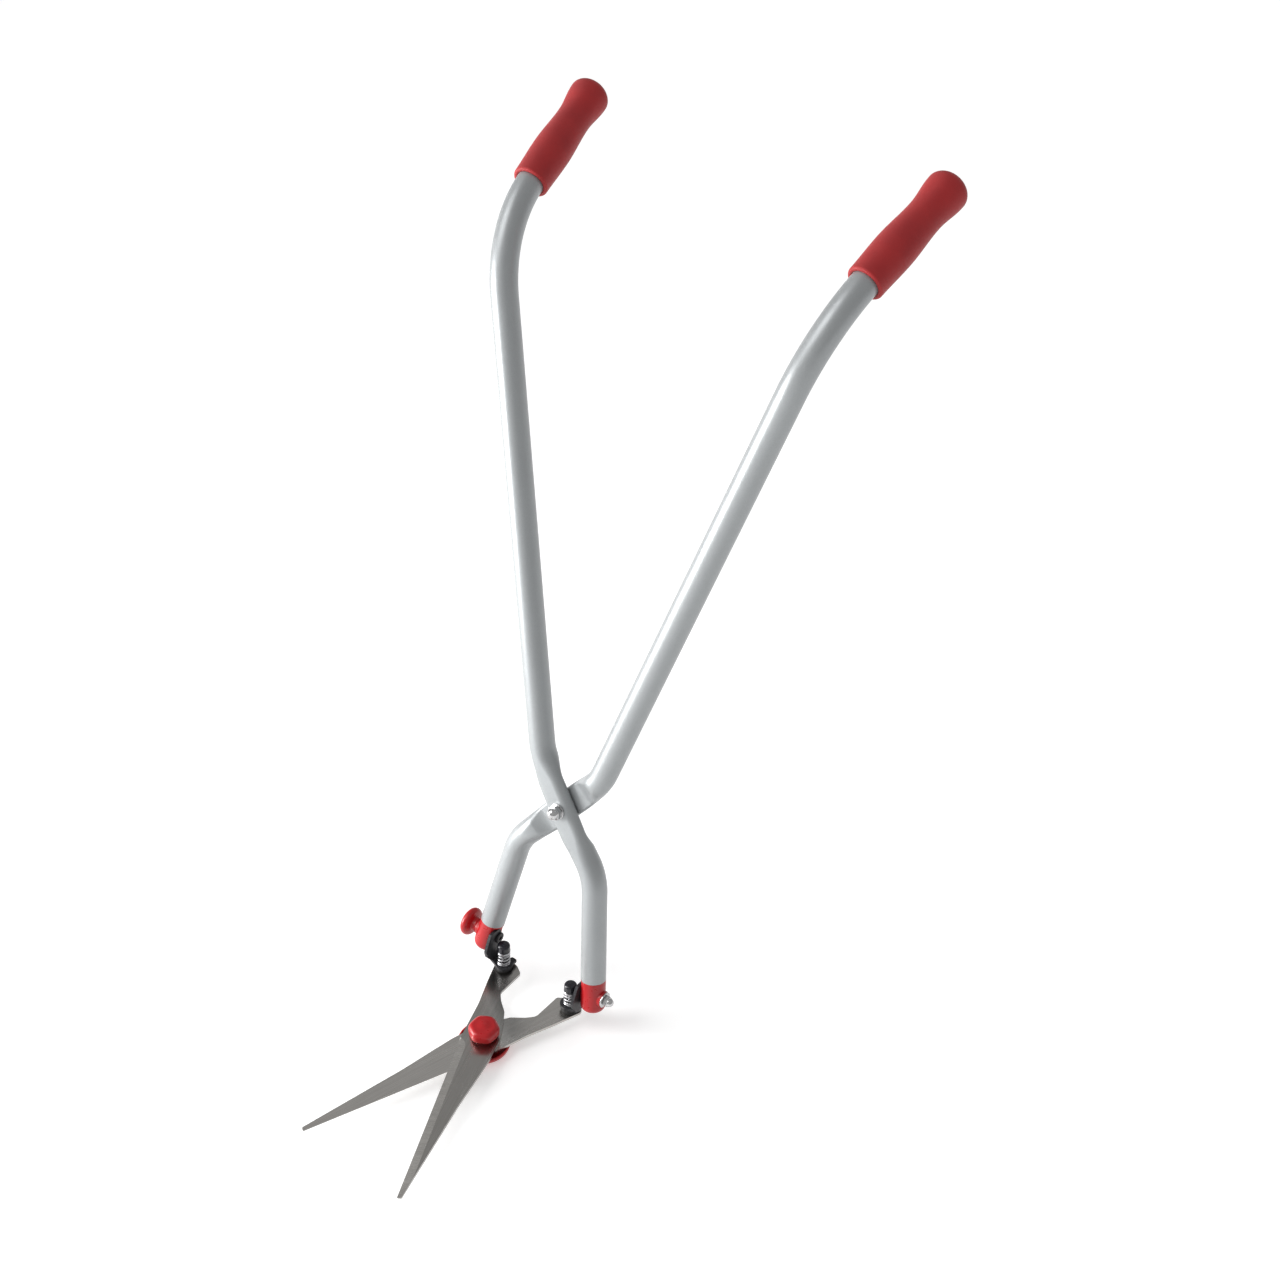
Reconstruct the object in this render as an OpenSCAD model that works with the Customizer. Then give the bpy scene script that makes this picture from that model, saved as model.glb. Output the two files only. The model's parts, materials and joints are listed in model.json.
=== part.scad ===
/* [Handles] */
// Outside diameter of each handle tube
tube_d = 25; // [24:0.5:26]
// Wall thickness of each handle tube
tube_wall = 1.5; // [1.2:0.1:2]
// Angle between the plane of the handles and the plane of the blades, in degrees
handle_rise = 79.5; // [76:0.5:84]
// Distance from the handle pivot down the handles to the foot of the blade pivot
pivot_drop = 235.3; // [230:0.1:240]
// Distance that the blade pivot stands in front of the plane of the handles
pivot_reach = 79.2; // [76:0.1:82]
// Width of a handle tube where it is pressed flat at the pivot
pressed_w = 28; // [26:0.5:30]
// Half length of the pressed flat
flat_reach = 27; // [26:0.5:28]
// Radius of the bend just above and just below the handle pivot
pivot_bend_r = 60; // [45:1:62]
// Radius of the bend that turns the top of a tube back into its grip
grip_bend_r = 120; // [105:1:124]

/* [Grips] */
// Length of a grip
grip_len = 123.5; // [118:0.5:126]
// Diameter at the open lower lip of a grip
grip_lip_d = 33; // [31:0.5:34]
// Diameter of the swell under the palm
grip_swell_d = 35; // [34:0.5:36]
// Diameter of the waist above the swell
grip_waist_d = 31; // [29:0.5:34]
// Diameter of the bulb at the closed end
grip_bulb_d = 36.5; // [32:0.5:39]

/* [Blades] */
// Thickness of each blade
blade_t = 3; // [2.6:0.1:3]
// Distance from the blade pivot to the tip
blade_reach = 195; // [185:1:205]
// Angle from the middle line to each blade as drawn
blade_half_open = 17.7; // [12:0.1:18]
// Width of the ground bevel along each cutting edge
bevel_w = 8; // [5:0.5:10]
// Height of the lower blade's top face above the ground
blade_h = 14; // [13.5:0.1:15]
// Diameter of the disc that the blades glide on
glide_d = 52; // [48:1:58]
// Width across the flats of the knob over the blade pivot
knob_af = 29; // [26:0.5:32]

/* [Tang pins] */
// Sideways distance from the middle line to each tang pin
pin_x = 43; // [42.8:0.1:43.2]
// Distance from the blade pivot back to the tang pins
pin_y = 81.5; // [81:0.1:82]
// Diameter of a tang pin's shank
pin_d = 6; // [5.6:0.1:6]
// Outside diameter of the coil spring on a tang pin
spring_d = 13.5; // [13:0.1:13.6]
// Diameter of the spring's wire
wire_d = 1.8; // [1.4:0.1:2]
// Turns of the spring
spring_turns = 6; // [5:1:7]

/* [Brackets] */
// Thickness of the bracket plate
plate_t = 3; // [2.5:0.1:3]
// Distance from the middle line to the inner face of each upright plate
plate_x = 54; // [53.8:0.1:54.2]
// Height of a bracket's foot above the lower blade's top face
foot_h = 6; // [6:0.1:6.3]
// Diameter of the knob that locks the angle of the head
lock_knob_d = 30; // [26:0.5:32]

/* [Hidden] */

$fn = 64;
TUBE_SIDES = 24;
RUN_FIT = 0.05;

SILVER = "#b4b8ba";
RED = "#be272d";
DARK_RED = "#a83236";
BLACK = "#1c1d20";
STEEL = "#7d7973";
BRIGHT = "#c9ccd0";

RIGHT = 1;
LEFT = -1;
FRONT = 1;
REAR = -1;

// Tube centreline corners in the handle plane: across, up, and forward of the handle pivot
tube_r = tube_d / 2;
TOP_BEND = [-160.3, 511.2, 0];
UPPER_BEND = [-34.5, 44.6, 0];
LOWER_BEND = [46, -59.3, 0];
CAP_END = [70.5, -208, 0];
GRIP_AIM = [-19.8, 110.6, -140];
grip_dir = GRIP_AIM / norm(GRIP_AIM);
grip_start = 56;
grip_end = grip_start + grip_len;
tube_stop = grip_end - 8;
seam_drop = 39.3;
cap_len = 35.2;
low_dir = unit(CAP_END - LOWER_BEND);
SEAM = CAP_END - low_dir * seam_drop;

// Pressed flat: as wide as leaves the tube's girth unchanged
pressed_back_r = 8.5;
pressed_face_r = 3;
flare_start = 16;
flare_len = 46;
flat_gap = 1;
ramp_len = 17;
press_len = 26;

// Handle pivot hardware
m8_r = 4;
pivot_washer_r = 8;
pivot_washer_t = 1.5;
pivot_spacer_r = 10.5;
pivot_hex = 13;
pivot_head_h = 5.3;
pivot_acorn_h = 11;
pivot_face = tube_r;

// Bolt across each end cap, about which the brackets tilt
CROSS = [67, 86.9, 34.1];
m6_r = 3;
boss_r = 8.2;
boss_x = 80.2;
spot_face_r = 9;
cross_washer_r = 8;
cross_washer_t = 1.5;
acorn_hex = 10;
acorn_h = 9.5;
cross_head_r = 6;
cross_head_t = 2;

// Knob on the left end of that bolt, with a nut moulded into it
lock_knob_z = boss_x + 0.2;
lock_nut_hex = 10;
lock_nut_h = 5;
lock_nut_z = boss_x + 6.5;

// Blade pivot stack, measured up from the ground
blade_gap = 0.1;
upper_top = blade_h + blade_gap + blade_t;
wave_r = 8.5;
wave_t = 1.4;
knob_base = upper_top + wave_t + 0.2;
knob_neck_h = 1.6;
knob_h = 12.5;
bolt_low_z = 4;
glide_nut_z = 3.6;
glide_nut_h = 6.5;

// Tang pin stack, measured up from the ground
pin_r = pin_d / 2;
foot_z = blade_h + foot_h;
foot_top = foot_z + plate_t;
spring_h = 18;
spring_top = foot_top + spring_h;
cap_h = 9.6;
pin_reach = norm([pin_x, pin_y]);
pin_turn = atan2(pin_x, pin_y) - blade_half_open;
pin_head_r = 5.5;
pin_head_t = 2.6;
pin_ring_r = 9;
pin_washer_t = 1;
pin_nut_af = 8.7;
pin_nut_h = 5;
cap_hollow_r = 5.15;
cap_hollow_h = 7;
spring_end_pitch = 0.25;
open_pin_play = 2.75;
rock_play = 0.6;

function unit(v) = v / norm(v);
function flip(p, side) = [p.x * side, p.y, p.z];
function lerp(a, b, t) = a + (b - a) * t;
function ease(t) = (1 - cos(180 * t)) / 2;

// Points of one rounded corner at b, between the directions to a and to c
function corner(a, b, c, r, steps = 6) =
    let (
        u = unit(a - b),
        v = unit(c - b),
        half = acos(max(-1, min(1, u * v))) / 2,
        cut = r / tan(half),
        mid = b + unit(u + v) * r / sin(half),
        from = b + u * cut - mid,
        to = b + v * cut - mid,
        span = 180 - 2 * half
    )
    r == 0 ? [b] : [for (i = [0 : steps])
        mid + (from * sin(span * (1 - i / steps)) + to * sin(span * i / steps)) / sin(span)];

// Outline whose corners are [x, y, radius]
function rounded(points) =
    let (n = len(points))
    [for (i = [0 : n - 1])
        let (
            a = points[(i + n - 1) % n],
            b = points[i],
            c = points[(i + 1) % n]
        )
        each corner([a.x, a.y], [b.x, b.y], [c.x, c.y], b.z)];

// Carries children from the handle plane (across, up, forward) to the part's own frame
module handle_frame() {
    translate([0, 0, blade_h])
        rotate([handle_rise, 0, 0])
            translate([0, pivot_drop, -pivot_reach])
                children();
}

// Stands children at a with their +Z along d; their +X is as near to ref as that allows
module aim(a, d, ref = [0, 0, 1]) {
    z = unit(d);
    y = unit(cross(z, ref));
    x = cross(y, z);
    multmatrix([
        [x.x, y.x, z.x, a.x],
        [x.y, y.y, z.y, a.y],
        [x.z, y.z, z.z, a.z],
        [0, 0, 0, 1]])
        children();
}

function bend_cut(p, c, q, r) = r * tan(acos(unit(c - p) * unit(q - c)) / 2);

// Rings [centre, direction] around the bend at corner c, coming from p and leaving towards q
function bend_rings(p, c, q, r, steps) =
    let (
        d1 = unit(c - p),
        d2 = unit(q - c),
        turn = acos(d1 * d2),
        inward = unit(d2 - d1 * (d1 * d2)),
        middle = c - d1 * bend_cut(p, c, q, r) + inward * r
    )
    [for (i = [0 : steps]) let (a = turn * i / steps)
        [middle + (d1 * sin(a) - inward * cos(a)) * r, d1 * cos(a) + inward * sin(a)]];

// Rings through one ramp, from its outer end to flat_reach, along direction d
function ramp_rings(d, steps) = [for (i = [0 : steps])
    [d * (flat_reach + ramp_len * (1 - i / steps)), d]];

function backwards(rings) = [for (i = [len(rings) - 1 : -1 : 0]) [rings[i][0], -rings[i][1]]];

// All rings of the right-hand tube, from its seam with the end cap up to its end inside the grip
TUBE_RINGS =
    let (
        top = TOP_BEND + grip_dir * tube_stop,
        pivot = [0, 0, 0]
    )
    concat(
        [[SEAM, -low_dir]],
        backwards(bend_rings(pivot, LOWER_BEND, SEAM, pivot_bend_r, 5)),
        [for (ring = ramp_rings(unit(LOWER_BEND), 5)) [ring[0], -ring[1]]],
        [[unit(LOWER_BEND) * flare_start, -unit(LOWER_BEND)]],
        [[unit(UPPER_BEND) * flare_start, unit(UPPER_BEND)]],
        backwards([for (ring = ramp_rings(unit(UPPER_BEND), 5)) [ring[0], -ring[1]]]),
        bend_rings(pivot, UPPER_BEND, TOP_BEND, pivot_bend_r, 4),
        bend_rings(UPPER_BEND, TOP_BEND, top, grip_bend_r, 8),
        [[top, grip_dir]]);

// Half the tube's width at the distance d from the pivot: the press flares it there
function half_width(d) =
    lerp(pressed_w / 2, tube_r, ease(max(0, min(1, (d - flare_start) / flare_len))));

// How far the tube is pressed, from 0 to 1, at the distance d from the pivot
function pressed(d) =
    ease(max(0, min(1, (flat_reach + press_len - d) / press_len)));

// Outline of the tube at one ring: a circle that the press flattens on the side that faces the other tube
function ring_points(ring, depth, inset) =
    let (
        press = pressed(norm(ring[0])),
        y = unit(cross(ring[1], [0, 0, 1])),
        x = cross(y, ring[1]),
        back_r = lerp(tube_r, pressed_back_r, press),
        face_r = lerp(tube_r, pressed_face_r, press),
        face = lerp(-tube_r, flat_gap / 2, press),
        snug = lerp(1, 1 / cos(180 / TUBE_SIDES), press)
    )
    [for (j = [0 : TUBE_SIDES - 1])
        let (
            a = 360 * (j + 0.5) / TUBE_SIDES,
            back = depth * cos(a) > 0,
            r = back ? back_r : face_r,
            mid = back ? tube_r - r : face + r,
            reach = half_width(norm(ring[0])) - r
        )
        ring[0] + x * (depth * mid + (r - inset) * snug * cos(a))
            + y * (sign(sin(a)) * reach + (r - inset) * snug * sin(a))];

// One handle tube: side mirrors it, depth says on which side of the mid-plane it is pressed
module handle_tube(side, depth) {
    n = TUBE_SIDES;
    last = len(TUBE_RINGS) - 1;
    skin = (last + 1) * n;
    points = concat(
        [for (ring = TUBE_RINGS) each ring_points(ring, depth, 0)],
        [for (ring = TUBE_RINGS) each ring_points(ring, depth, tube_wall)]);
    outer = [for (k = [0 : last - 1]) for (j = [0 : n - 1])
        let (a = k * n + j, b = k * n + (j + 1) % n)
        [a + n, b + n, b, a]];
    inner = [for (f = outer) [for (i = [3 : -1 : 0]) f[i] + skin]];
    low_end = [for (j = [0 : n - 1]) let (b = (j + 1) % n) [j, b, b + skin, j + skin]];
    high_end = [for (j = [0 : n - 1])
        let (a = last * n + j, b = last * n + (j + 1) % n)
        [a + skin, b + skin, b, a]];
    mirror([side < 0 ? 1 : 0, 0, 0])
        difference() {
            polyhedron(points = points, faces = concat(outer, inner, low_end, high_end));
            cylinder(h = 4 * tube_r, r = m8_r + RUN_FIT, center = true);
        }
}

module front_handle_tube() {
    color(SILVER)
        handle_frame()
            handle_tube(RIGHT, FRONT);
}

module rear_handle_tube() {
    color(SILVER)
        handle_frame()
            handle_tube(LEFT, REAR);
}

// Radius of a grip at the share t of its length, from the lip to the end of the bulb
function grip_r(t) =
    t < 0.32 ? lerp(grip_lip_d, grip_swell_d, ease(t / 0.32)) / 2
    : t < 0.66 ? lerp(grip_swell_d, grip_waist_d, ease((t - 0.32) / 0.34)) / 2
    : lerp(grip_waist_d, grip_bulb_d, ease(min(1, (t - 0.66) / 0.24))) / 2;

// Soft moulded grip: a revolved sleeve with a rounded lip and a domed, closed end
module grip(side) {
    dome = 12;
    lip = 2.2;
    steps = 20;
    bulb_t = 1 - dome / grip_len;
    bulb_r = grip_r(bulb_t);
    sleeve_r = tube_r + RUN_FIT;
    bore_stop = tube_stop - grip_start + 0.3;
    profile = concat(
        [[sleeve_r, 0]],
        [for (i = [0 : 4]) let (a = 90 * i / 4) [grip_r(0) - lip * (1 - sin(a)), lip * (1 - cos(a))]],
        [for (i = [1 : steps]) let (t = lerp(lip / grip_len, bulb_t, i / steps)) [grip_r(t), t * grip_len]],
        [for (i = [1 : 9]) [bulb_r * cos(10 * i), grip_len - dome + dome * sin(10 * i)]],
        [[0, bore_stop], [sleeve_r, bore_stop]]);
    aim(flip(TOP_BEND, side) + flip(grip_dir, side) * grip_start, flip(grip_dir, side))
        rotate_extrude()
            polygon(profile);
}

module front_grip() {
    color(DARK_RED)
        handle_frame()
            grip(RIGHT);
}

module rear_grip() {
    color(DARK_RED)
        handle_frame()
            grip(LEFT);
}

// Carries children to the bolt across an end cap, +Z pointing outwards
module cross_frame(side) {
    translate([0, CROSS.y, CROSS.z + blade_h])
        rotate([0, 90 * side, 0])
            children();
}

// Plastic plug and end cap, with a flat for the bracket and a spot-faced boss for the bolt
module end_cap(side) {
    round_r = 7;
    plug_len = 26;
    rim = 1.5;
    plug_r = tube_r - tube_wall - 3 * RUN_FIT;
    flat_x = plate_x + plate_t + 0.1;
    body = concat(
        [[0, -plug_len], [plug_r - 1, -plug_len], [plug_r, -plug_len + 1], [plug_r, 0], [tube_r, 0]],
        [for (i = [0 : 6]) [tube_r - round_r + round_r * cos(15 * i),
            cap_len - round_r + round_r * sin(15 * i)]],
        [[0, cap_len + 1.2]]);
    difference() {
        union() {
            handle_frame()
                aim(flip(SEAM, side), flip(low_dir, side))
                    rotate_extrude()
                        polygon(body);
            cross_frame(side)
                translate([0, 0, CROSS.x])
                    cylinder(h = boss_x - CROSS.x, r = boss_r);
        }
        intersection() {
            translate([side * (flat_x - 20), CROSS.y, CROSS.z + blade_h])
                cube([40, 60, 60], center = true);
            handle_frame()
                aim(flip(SEAM, side), flip(low_dir, side))
                    translate([0, 0, rim])
                        cylinder(h = 60, r = 3 * tube_r);
        }
        cross_frame(side)
            cylinder(h = 2 * boss_x, r = m6_r + RUN_FIT);
        cross_frame(side)
            translate([0, 0, boss_x])
                cylinder(h = boss_x, r = spot_face_r);
    }
}

module right_end_cap() {
    color(RED)
        end_cap(RIGHT);
}

module left_end_cap() {
    color(RED)
        end_cap(LEFT);
}

// Flat washer standing on z = 0
module washer(r_out, r_in, h) {
    difference() {
        cylinder(h = h, r = r_out);
        translate([0, 0, -1])
            cylinder(h = h + 2, r = r_in);
    }
}

// Hexagonal prism with chamfered corners at its top
module hex(af, h) {
    intersection() {
        cylinder(h = h, r = af / sqrt(3), $fn = 6);
        cylinder(h = h, r1 = af / 2 + h, r2 = af / 2);
    }
}

// Low round head, chamfered all round at z = 0
module pan_head(r, h) {
    intersection() {
        cylinder(h = h, r = r);
        cylinder(h = h, r1 = r - h / 2, r2 = r + h / 2);
    }
}

// Domed nut with a blind thread of radius bore, standing on z = 0
module acorn_nut(af, h, bore) {
    base = h * 0.5;
    dome_r = af * 0.46;
    dome_h = h - base;
    difference() {
        union() {
            hex(af, base);
            translate([0, 0, base])
                rotate_extrude()
                    polygon(concat([[0, 0]],
                        [for (i = [0 : 9]) [dome_r * cos(10 * i), dome_h * sin(10 * i)]]));
        }
        translate([0, 0, -1])
            cylinder(h = h * 0.7 + 1, r = bore);
    }
}

module handle_pivot_bolt() {
    start = pivot_face + pivot_washer_t;
    color(BRIGHT)
        handle_frame() {
            translate([0, 0, -start])
                cylinder(h = 2 * start + 6, r = m8_r);
            translate([0, 0, -start])
                mirror([0, 0, 1])
                    hex(pivot_hex, pivot_head_h);
        }
}

module handle_pivot_washer() {
    color(BRIGHT)
        handle_frame()
            translate([0, 0, pivot_face])
                washer(pivot_washer_r, m8_r + RUN_FIT, pivot_washer_t);
}

module handle_pivot_rear_washer() {
    color(BRIGHT)
        handle_frame()
            translate([0, 0, -pivot_face - pivot_washer_t])
                washer(pivot_washer_r, m8_r + RUN_FIT, pivot_washer_t);
}

// Thin plastic disc that keeps the two pressed flats apart
module handle_pivot_spacer() {
    color(BLACK)
        handle_frame()
            translate([0, 0, -flat_gap / 2])
                washer(pivot_spacer_r, m8_r + RUN_FIT, flat_gap);
}

module handle_pivot_acorn_nut() {
    color(BRIGHT)
        handle_frame()
            translate([0, 0, pivot_face + pivot_washer_t])
                acorn_nut(pivot_hex, pivot_acorn_h, m8_r);
}

// Bolt from inside the bracket, through the cap, to the outside
module cross_bolt(side, reach) {
    cross_frame(side) {
        translate([0, 0, plate_x])
            cylinder(h = reach - plate_x, r = m6_r);
        translate([0, 0, plate_x - cross_head_t])
            pan_head(cross_head_r, cross_head_t);
    }
}

module right_cross_bolt() {
    color(BLACK)
        cross_bolt(RIGHT, boss_x + cross_washer_t + 5.5);
}

module right_cross_washer() {
    color(BRIGHT)
        cross_frame(RIGHT)
            translate([0, 0, boss_x])
                washer(cross_washer_r, m6_r + RUN_FIT, cross_washer_t);
}

module right_acorn_nut() {
    color(BRIGHT)
        cross_frame(RIGHT)
            translate([0, 0, boss_x + cross_washer_t])
                acorn_nut(acorn_hex, acorn_h, m6_r);
}

module left_cross_bolt() {
    color(BLACK)
        cross_bolt(LEFT, lock_nut_z + lock_nut_h);
}

// Mushroom knob: a flared neck against the cap and a rounded head
module angle_lock_knob() {
    neck_r = 7;
    neck_h = 5.6;
    head_h = 10;
    head_r = lock_knob_d / 2;
    rim = head_h / 2 - 0.6;
    bore_h = 13;
    profile = concat(
        [[0, 0], [boss_r, 0]],
        [for (i = [1 : 5]) [boss_r - (boss_r - neck_r) * sin(18 * i), 2 * (1 - cos(18 * i))]],
        [[neck_r, neck_h - 1], [neck_r + 1, neck_h]],
        [for (i = [-8 : 9]) [head_r - rim * (1 - cos(10 * i)), neck_h + head_h / 2 + rim * sin(10 * i)]],
        [[0, neck_h + head_h]]);
    color(RED)
        cross_frame(LEFT)
            translate([0, 0, lock_knob_z])
                difference() {
                    rotate_extrude()
                        polygon(profile);
                    translate([0, 0, -1])
                        cylinder(h = bore_h, r = m6_r + RUN_FIT);
                    translate([0, 0, lock_nut_z - lock_knob_z])
                        cylinder(h = lock_nut_h, r = lock_nut_hex / sqrt(3) + RUN_FIT, $fn = 6);
                }
}

module lock_knob_nut() {
    color(BRIGHT)
        cross_frame(LEFT)
            translate([0, 0, lock_nut_z])
                difference() {
                    cylinder(h = lock_nut_h, r = lock_nut_hex / sqrt(3), $fn = 6);
                    translate([0, 0, -1])
                        cylinder(h = lock_nut_h + 2, r = m6_r + RUN_FIT);
                }
}

// Side view of the upright plate: distance back from the blade pivot, height above the foot's underside,
// corner radius
PLATE = [
    [77, 0, 2], [68.5, 13.3, 4], [67, 21, 3], [69.6, 28, 6],
    [74.7, 39.6, 3], [90.5, 39.6, 6], [91, 0, 2]];
// Plan of the foot inwards from the plate: sideways from the pin, back from the blade pivot, corner radius
FOOT = [
    [plate_x + plate_t, 77, 0], [pin_x, 72, 4], [33.5, 72, 8], [33.5, 84, 1], [35, 86, 0.5], [35, 93, 1.2],
    [41, 93, 1], [42, 91, 0.5], [plate_x + plate_t, 91, 0]];

// Right-angled bracket: upright plate against the cap, foot over the tang
module bracket(side, hole_r) {
    difference() {
        union() {
            translate([side * (plate_x + plate_t / 2), 0, foot_z])
                rotate([90, 0, 90])
                    linear_extrude(plate_t, center = true)
                        polygon(rounded(PLATE));
            mirror([side < 0 ? 1 : 0, 0, 0])
                translate([0, 0, foot_z])
                    linear_extrude(plate_t)
                        polygon(rounded(FOOT));
        }
        cross_frame(side)
            translate([0, 0, plate_x - 2])
                cylinder(h = plate_t + 4, r = m6_r + RUN_FIT);
        translate([side * pin_x, pin_y, foot_z - 1])
            cylinder(h = plate_t + 2, r = hole_r);
    }
}

module right_bracket() {
    color(BLACK)
        bracket(RIGHT, pin_r + rock_play);
}

// The left foot's hole is wide, because this pivot is the one left open in the linkage
module left_bracket() {
    color(BLACK)
        bracket(LEFT, pin_r + open_pin_play);
}

// Ends of a blade's cutting edge
HEEL = [-20.5, -10];
TIP = [-1.3, -blade_reach];
// Blade outline, tip towards -Y and cutting edge towards -X: across, back from the pivot, corner radius
BLADE = [
    [HEEL.x, HEEL.y, 5], [TIP.x, TIP.y, 1], [TIP.x + 4.4, TIP.y + 1, 1.6], [4.2, -178, 60],
    [10.2, -85, 200], [14, -50, 90], [16.4, -26, 24], [16.5, 0, 30], [12.2, 19, 50], [7.4, 35, 12],
    [-1.2, 47, 10], [-6, 57, 9], [3.3, 88.3, 3.5], [-3.2, 96, 4], [-11, 101, 6], [-26.6, 101, 6],
    [-24, 65, 80], [-21, 36, 60]];
edge_turn = atan2(TIP.x - HEEL.x, HEEL.y - TIP.y);
edge_land = 0.4;

// One blade in its own frame, lying between z = 0 and its thickness with the bevel on top
module blade_blank() {
    difference() {
        linear_extrude(blade_t)
            polygon(rounded(BLADE));
        translate([HEEL.x, HEEL.y, 0])
            rotate([0, 0, edge_turn])
                rotate([0, -atan2(blade_t - edge_land, bevel_w), 0])
                    translate([-30, -blade_reach - 5, edge_land])
                        cube([60, blade_reach + 2, 20]);
        translate([0, 0, -1])
            cylinder(h = blade_t + 2, r = m8_r + RUN_FIT);
        rotate([0, 0, pin_turn])
            translate([0, pin_reach, -1])
                cylinder(h = blade_t + 2, r = pin_r + RUN_FIT);
    }
}

module upper_blade() {
    color(STEEL)
        translate([0, 0, blade_h + blade_gap])
            rotate([0, 0, blade_half_open])
                blade_blank();
}

module lower_blade() {
    color(STEEL)
        translate([0, 0, blade_h])
            rotate([0, 180, 0])
                rotate([0, 0, blade_half_open])
                    blade_blank();
}

module blade_pivot_bolt() {
    head_z = knob_base + knob_neck_h + 1;
    color(BRIGHT) {
        translate([0, 0, bolt_low_z])
            cylinder(h = head_z - bolt_low_z, r = m8_r);
        translate([0, 0, head_z])
            cylinder(h = pivot_head_h, r = pivot_hex / sqrt(3), $fn = 6);
    }
}

// Rounded hexagonal knob moulded over the head of the pivot bolt
module blade_pivot_knob() {
    corner_r = knob_af / sqrt(3);
    top = knob_neck_h + knob_h;
    edge = 3.2;
    crown = concat(
        [[0, knob_neck_h], [knob_af / 2 - 2, knob_neck_h], [corner_r - 0.4, knob_neck_h + 2.4]],
        [for (i = [0 : 6]) [corner_r - 0.2 - edge + edge * cos(15 * i),
            top - edge - 1 + edge * sin(15 * i)]],
        [[corner_r - 9, top - 0.3], [0, top]]);
    color(RED)
        translate([0, 0, knob_base])
            difference() {
                union() {
                    intersection() {
                        linear_extrude(top)
                            polygon(rounded([for (i = [0 : 5])
                                [corner_r * cos(60 * i), corner_r * sin(60 * i), 8]]));
                        rotate_extrude()
                            polygon(crown);
                    }
                    cylinder(h = knob_neck_h + 1, r = 9.5);
                }
                translate([0, 0, -1])
                    cylinder(h = knob_neck_h + 3, r = m8_r + RUN_FIT);
                translate([0, 0, knob_neck_h + 1])
                    cylinder(h = pivot_head_h, r = pivot_hex / sqrt(3) + RUN_FIT, $fn = 6);
            }
}

module blade_spring_washer() {
    color(BRIGHT)
        translate([0, 0, upper_top])
            washer(wave_r, m8_r + RUN_FIT, wave_t);
}

// Saucer with a flat underside, a raised rim and a hub that holds a nut
module glide_disc() {
    r = glide_d / 2;
    foot_r = 15;
    floor_t = 2.6;
    hub_r = 10.5;
    hub_top = blade_h - blade_t - 0.1;
    rim_top = hub_top - 0.9;
    rise = rim_top - 1.4;
    under = [for (i = [0 : 8]) let (a = 90 * i / 8) [foot_r + (r - foot_r) * sin(a), rise * (1 - cos(a))]];
    inside = [for (i = [8 : -1 : 0]) let (a = 90 * i / 8)
        [foot_r - 1 + (r - foot_r - 1.6) * sin(a), floor_t + (rim_top - 0.6 - floor_t) * (1 - cos(a))]];
    profile = concat(
        [[0, 0]], under,
        [[r, rim_top - 0.7], [r - 0.7, rim_top], [r - 1.9, rim_top]],
        inside,
        [[hub_r + 1, floor_t + 0.6], [hub_r, floor_t + 1.6], [hub_r, hub_top], [0, hub_top]]);
    color(RED)
        difference() {
            rotate_extrude()
                polygon(profile);
            translate([0, 0, glide_nut_z])
                cylinder(h = blade_h, r = pivot_hex / sqrt(3) + RUN_FIT, $fn = 6);
        }
}

module glide_nut() {
    color(BRIGHT)
        translate([0, 0, glide_nut_z])
            difference() {
                cylinder(h = glide_nut_h, r = pivot_hex / sqrt(3), $fn = 6);
                translate([0, 0, -1])
                    cylinder(h = glide_nut_h + 2, r = m8_r + RUN_FIT);
            }
}

// Carries children to a tang pin, z still measured from the ground
module pin_frame(side) {
    translate([side * pin_x, pin_y, 0])
        children();
}

// The right pin goes through the lower blade, the left pin through the upper blade
function tang_low(side) = side > 0 ? blade_h - blade_t : blade_h + blade_gap;
function tang_top(side) = tang_low(side) + blade_t;

// Headed pin, pushed up through the tang and the bracket's foot
module tang_pin(side) {
    pin_frame(side) {
        translate([0, 0, tang_low(side)])
            cylinder(h = spring_top + pin_washer_t + pin_nut_h + 0.5 - tang_low(side), r = pin_r);
        translate([0, 0, tang_low(side) - pin_head_t])
            pan_head(pin_head_r, pin_head_t);
    }
}

module right_tang_pin() {
    color(BRIGHT)
        tang_pin(RIGHT);
}

module left_tang_pin() {
    color(BRIGHT)
        tang_pin(LEFT);
}

// Rubber ring that fills the gap between the tang and the foot
module pin_ring(side) {
    pin_frame(side)
        translate([0, 0, tang_top(side)])
            washer(pin_ring_r, pin_r + RUN_FIT, foot_z - tang_top(side));
}

module right_pin_ring() {
    color(BLACK)
        pin_ring(RIGHT);
}

module left_pin_ring() {
    color(BLACK)
        pin_ring(LEFT);
}

// Height of the spring's centreline at the share t of its length; its pitch falls off towards both ends
function coil_z(t) =
    lerp(wire_d / 2, spring_h - wire_d / 2, t - (1 - spring_end_pitch) * sin(360 * t) / (2 * PI));

// Point on the spring's centreline
function coil_point(t) =
    let (r = (spring_d - wire_d) / 2)
    [r * cos(360 * spring_turns * t), r * sin(360 * spring_turns * t), coil_z(t)];

// Coil spring: a wire of eight sides swept along the coil
module pin_spring(side) {
    sides = 8;
    rings = spring_turns * 14;
    points = [for (k = [0 : rings]) let (
            t = k / rings,
            p = coil_point(t),
            out = unit([p.x, p.y, 0]),
            d = unit(coil_point(t + 0.001) - coil_point(t - 0.001)),
            up = cross(out, d))
        for (s = [0 : sides - 1])
            p + (out * cos(360 * s / sides) + up * sin(360 * s / sides)) * wire_d / 2];
    walls = [for (k = [0 : rings - 1]) for (s = [0 : sides - 1])
        let (a = k * sides + s, b = k * sides + (s + 1) % sides)
        [a, b, b + sides, a + sides]];
    ends = [[for (s = [sides - 1 : -1 : 0]) s], [for (s = [0 : sides - 1]) rings * sides + s]];
    pin_frame(side)
        translate([0, 0, foot_top])
            polyhedron(points = points, faces = concat(walls, ends));
}

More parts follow.
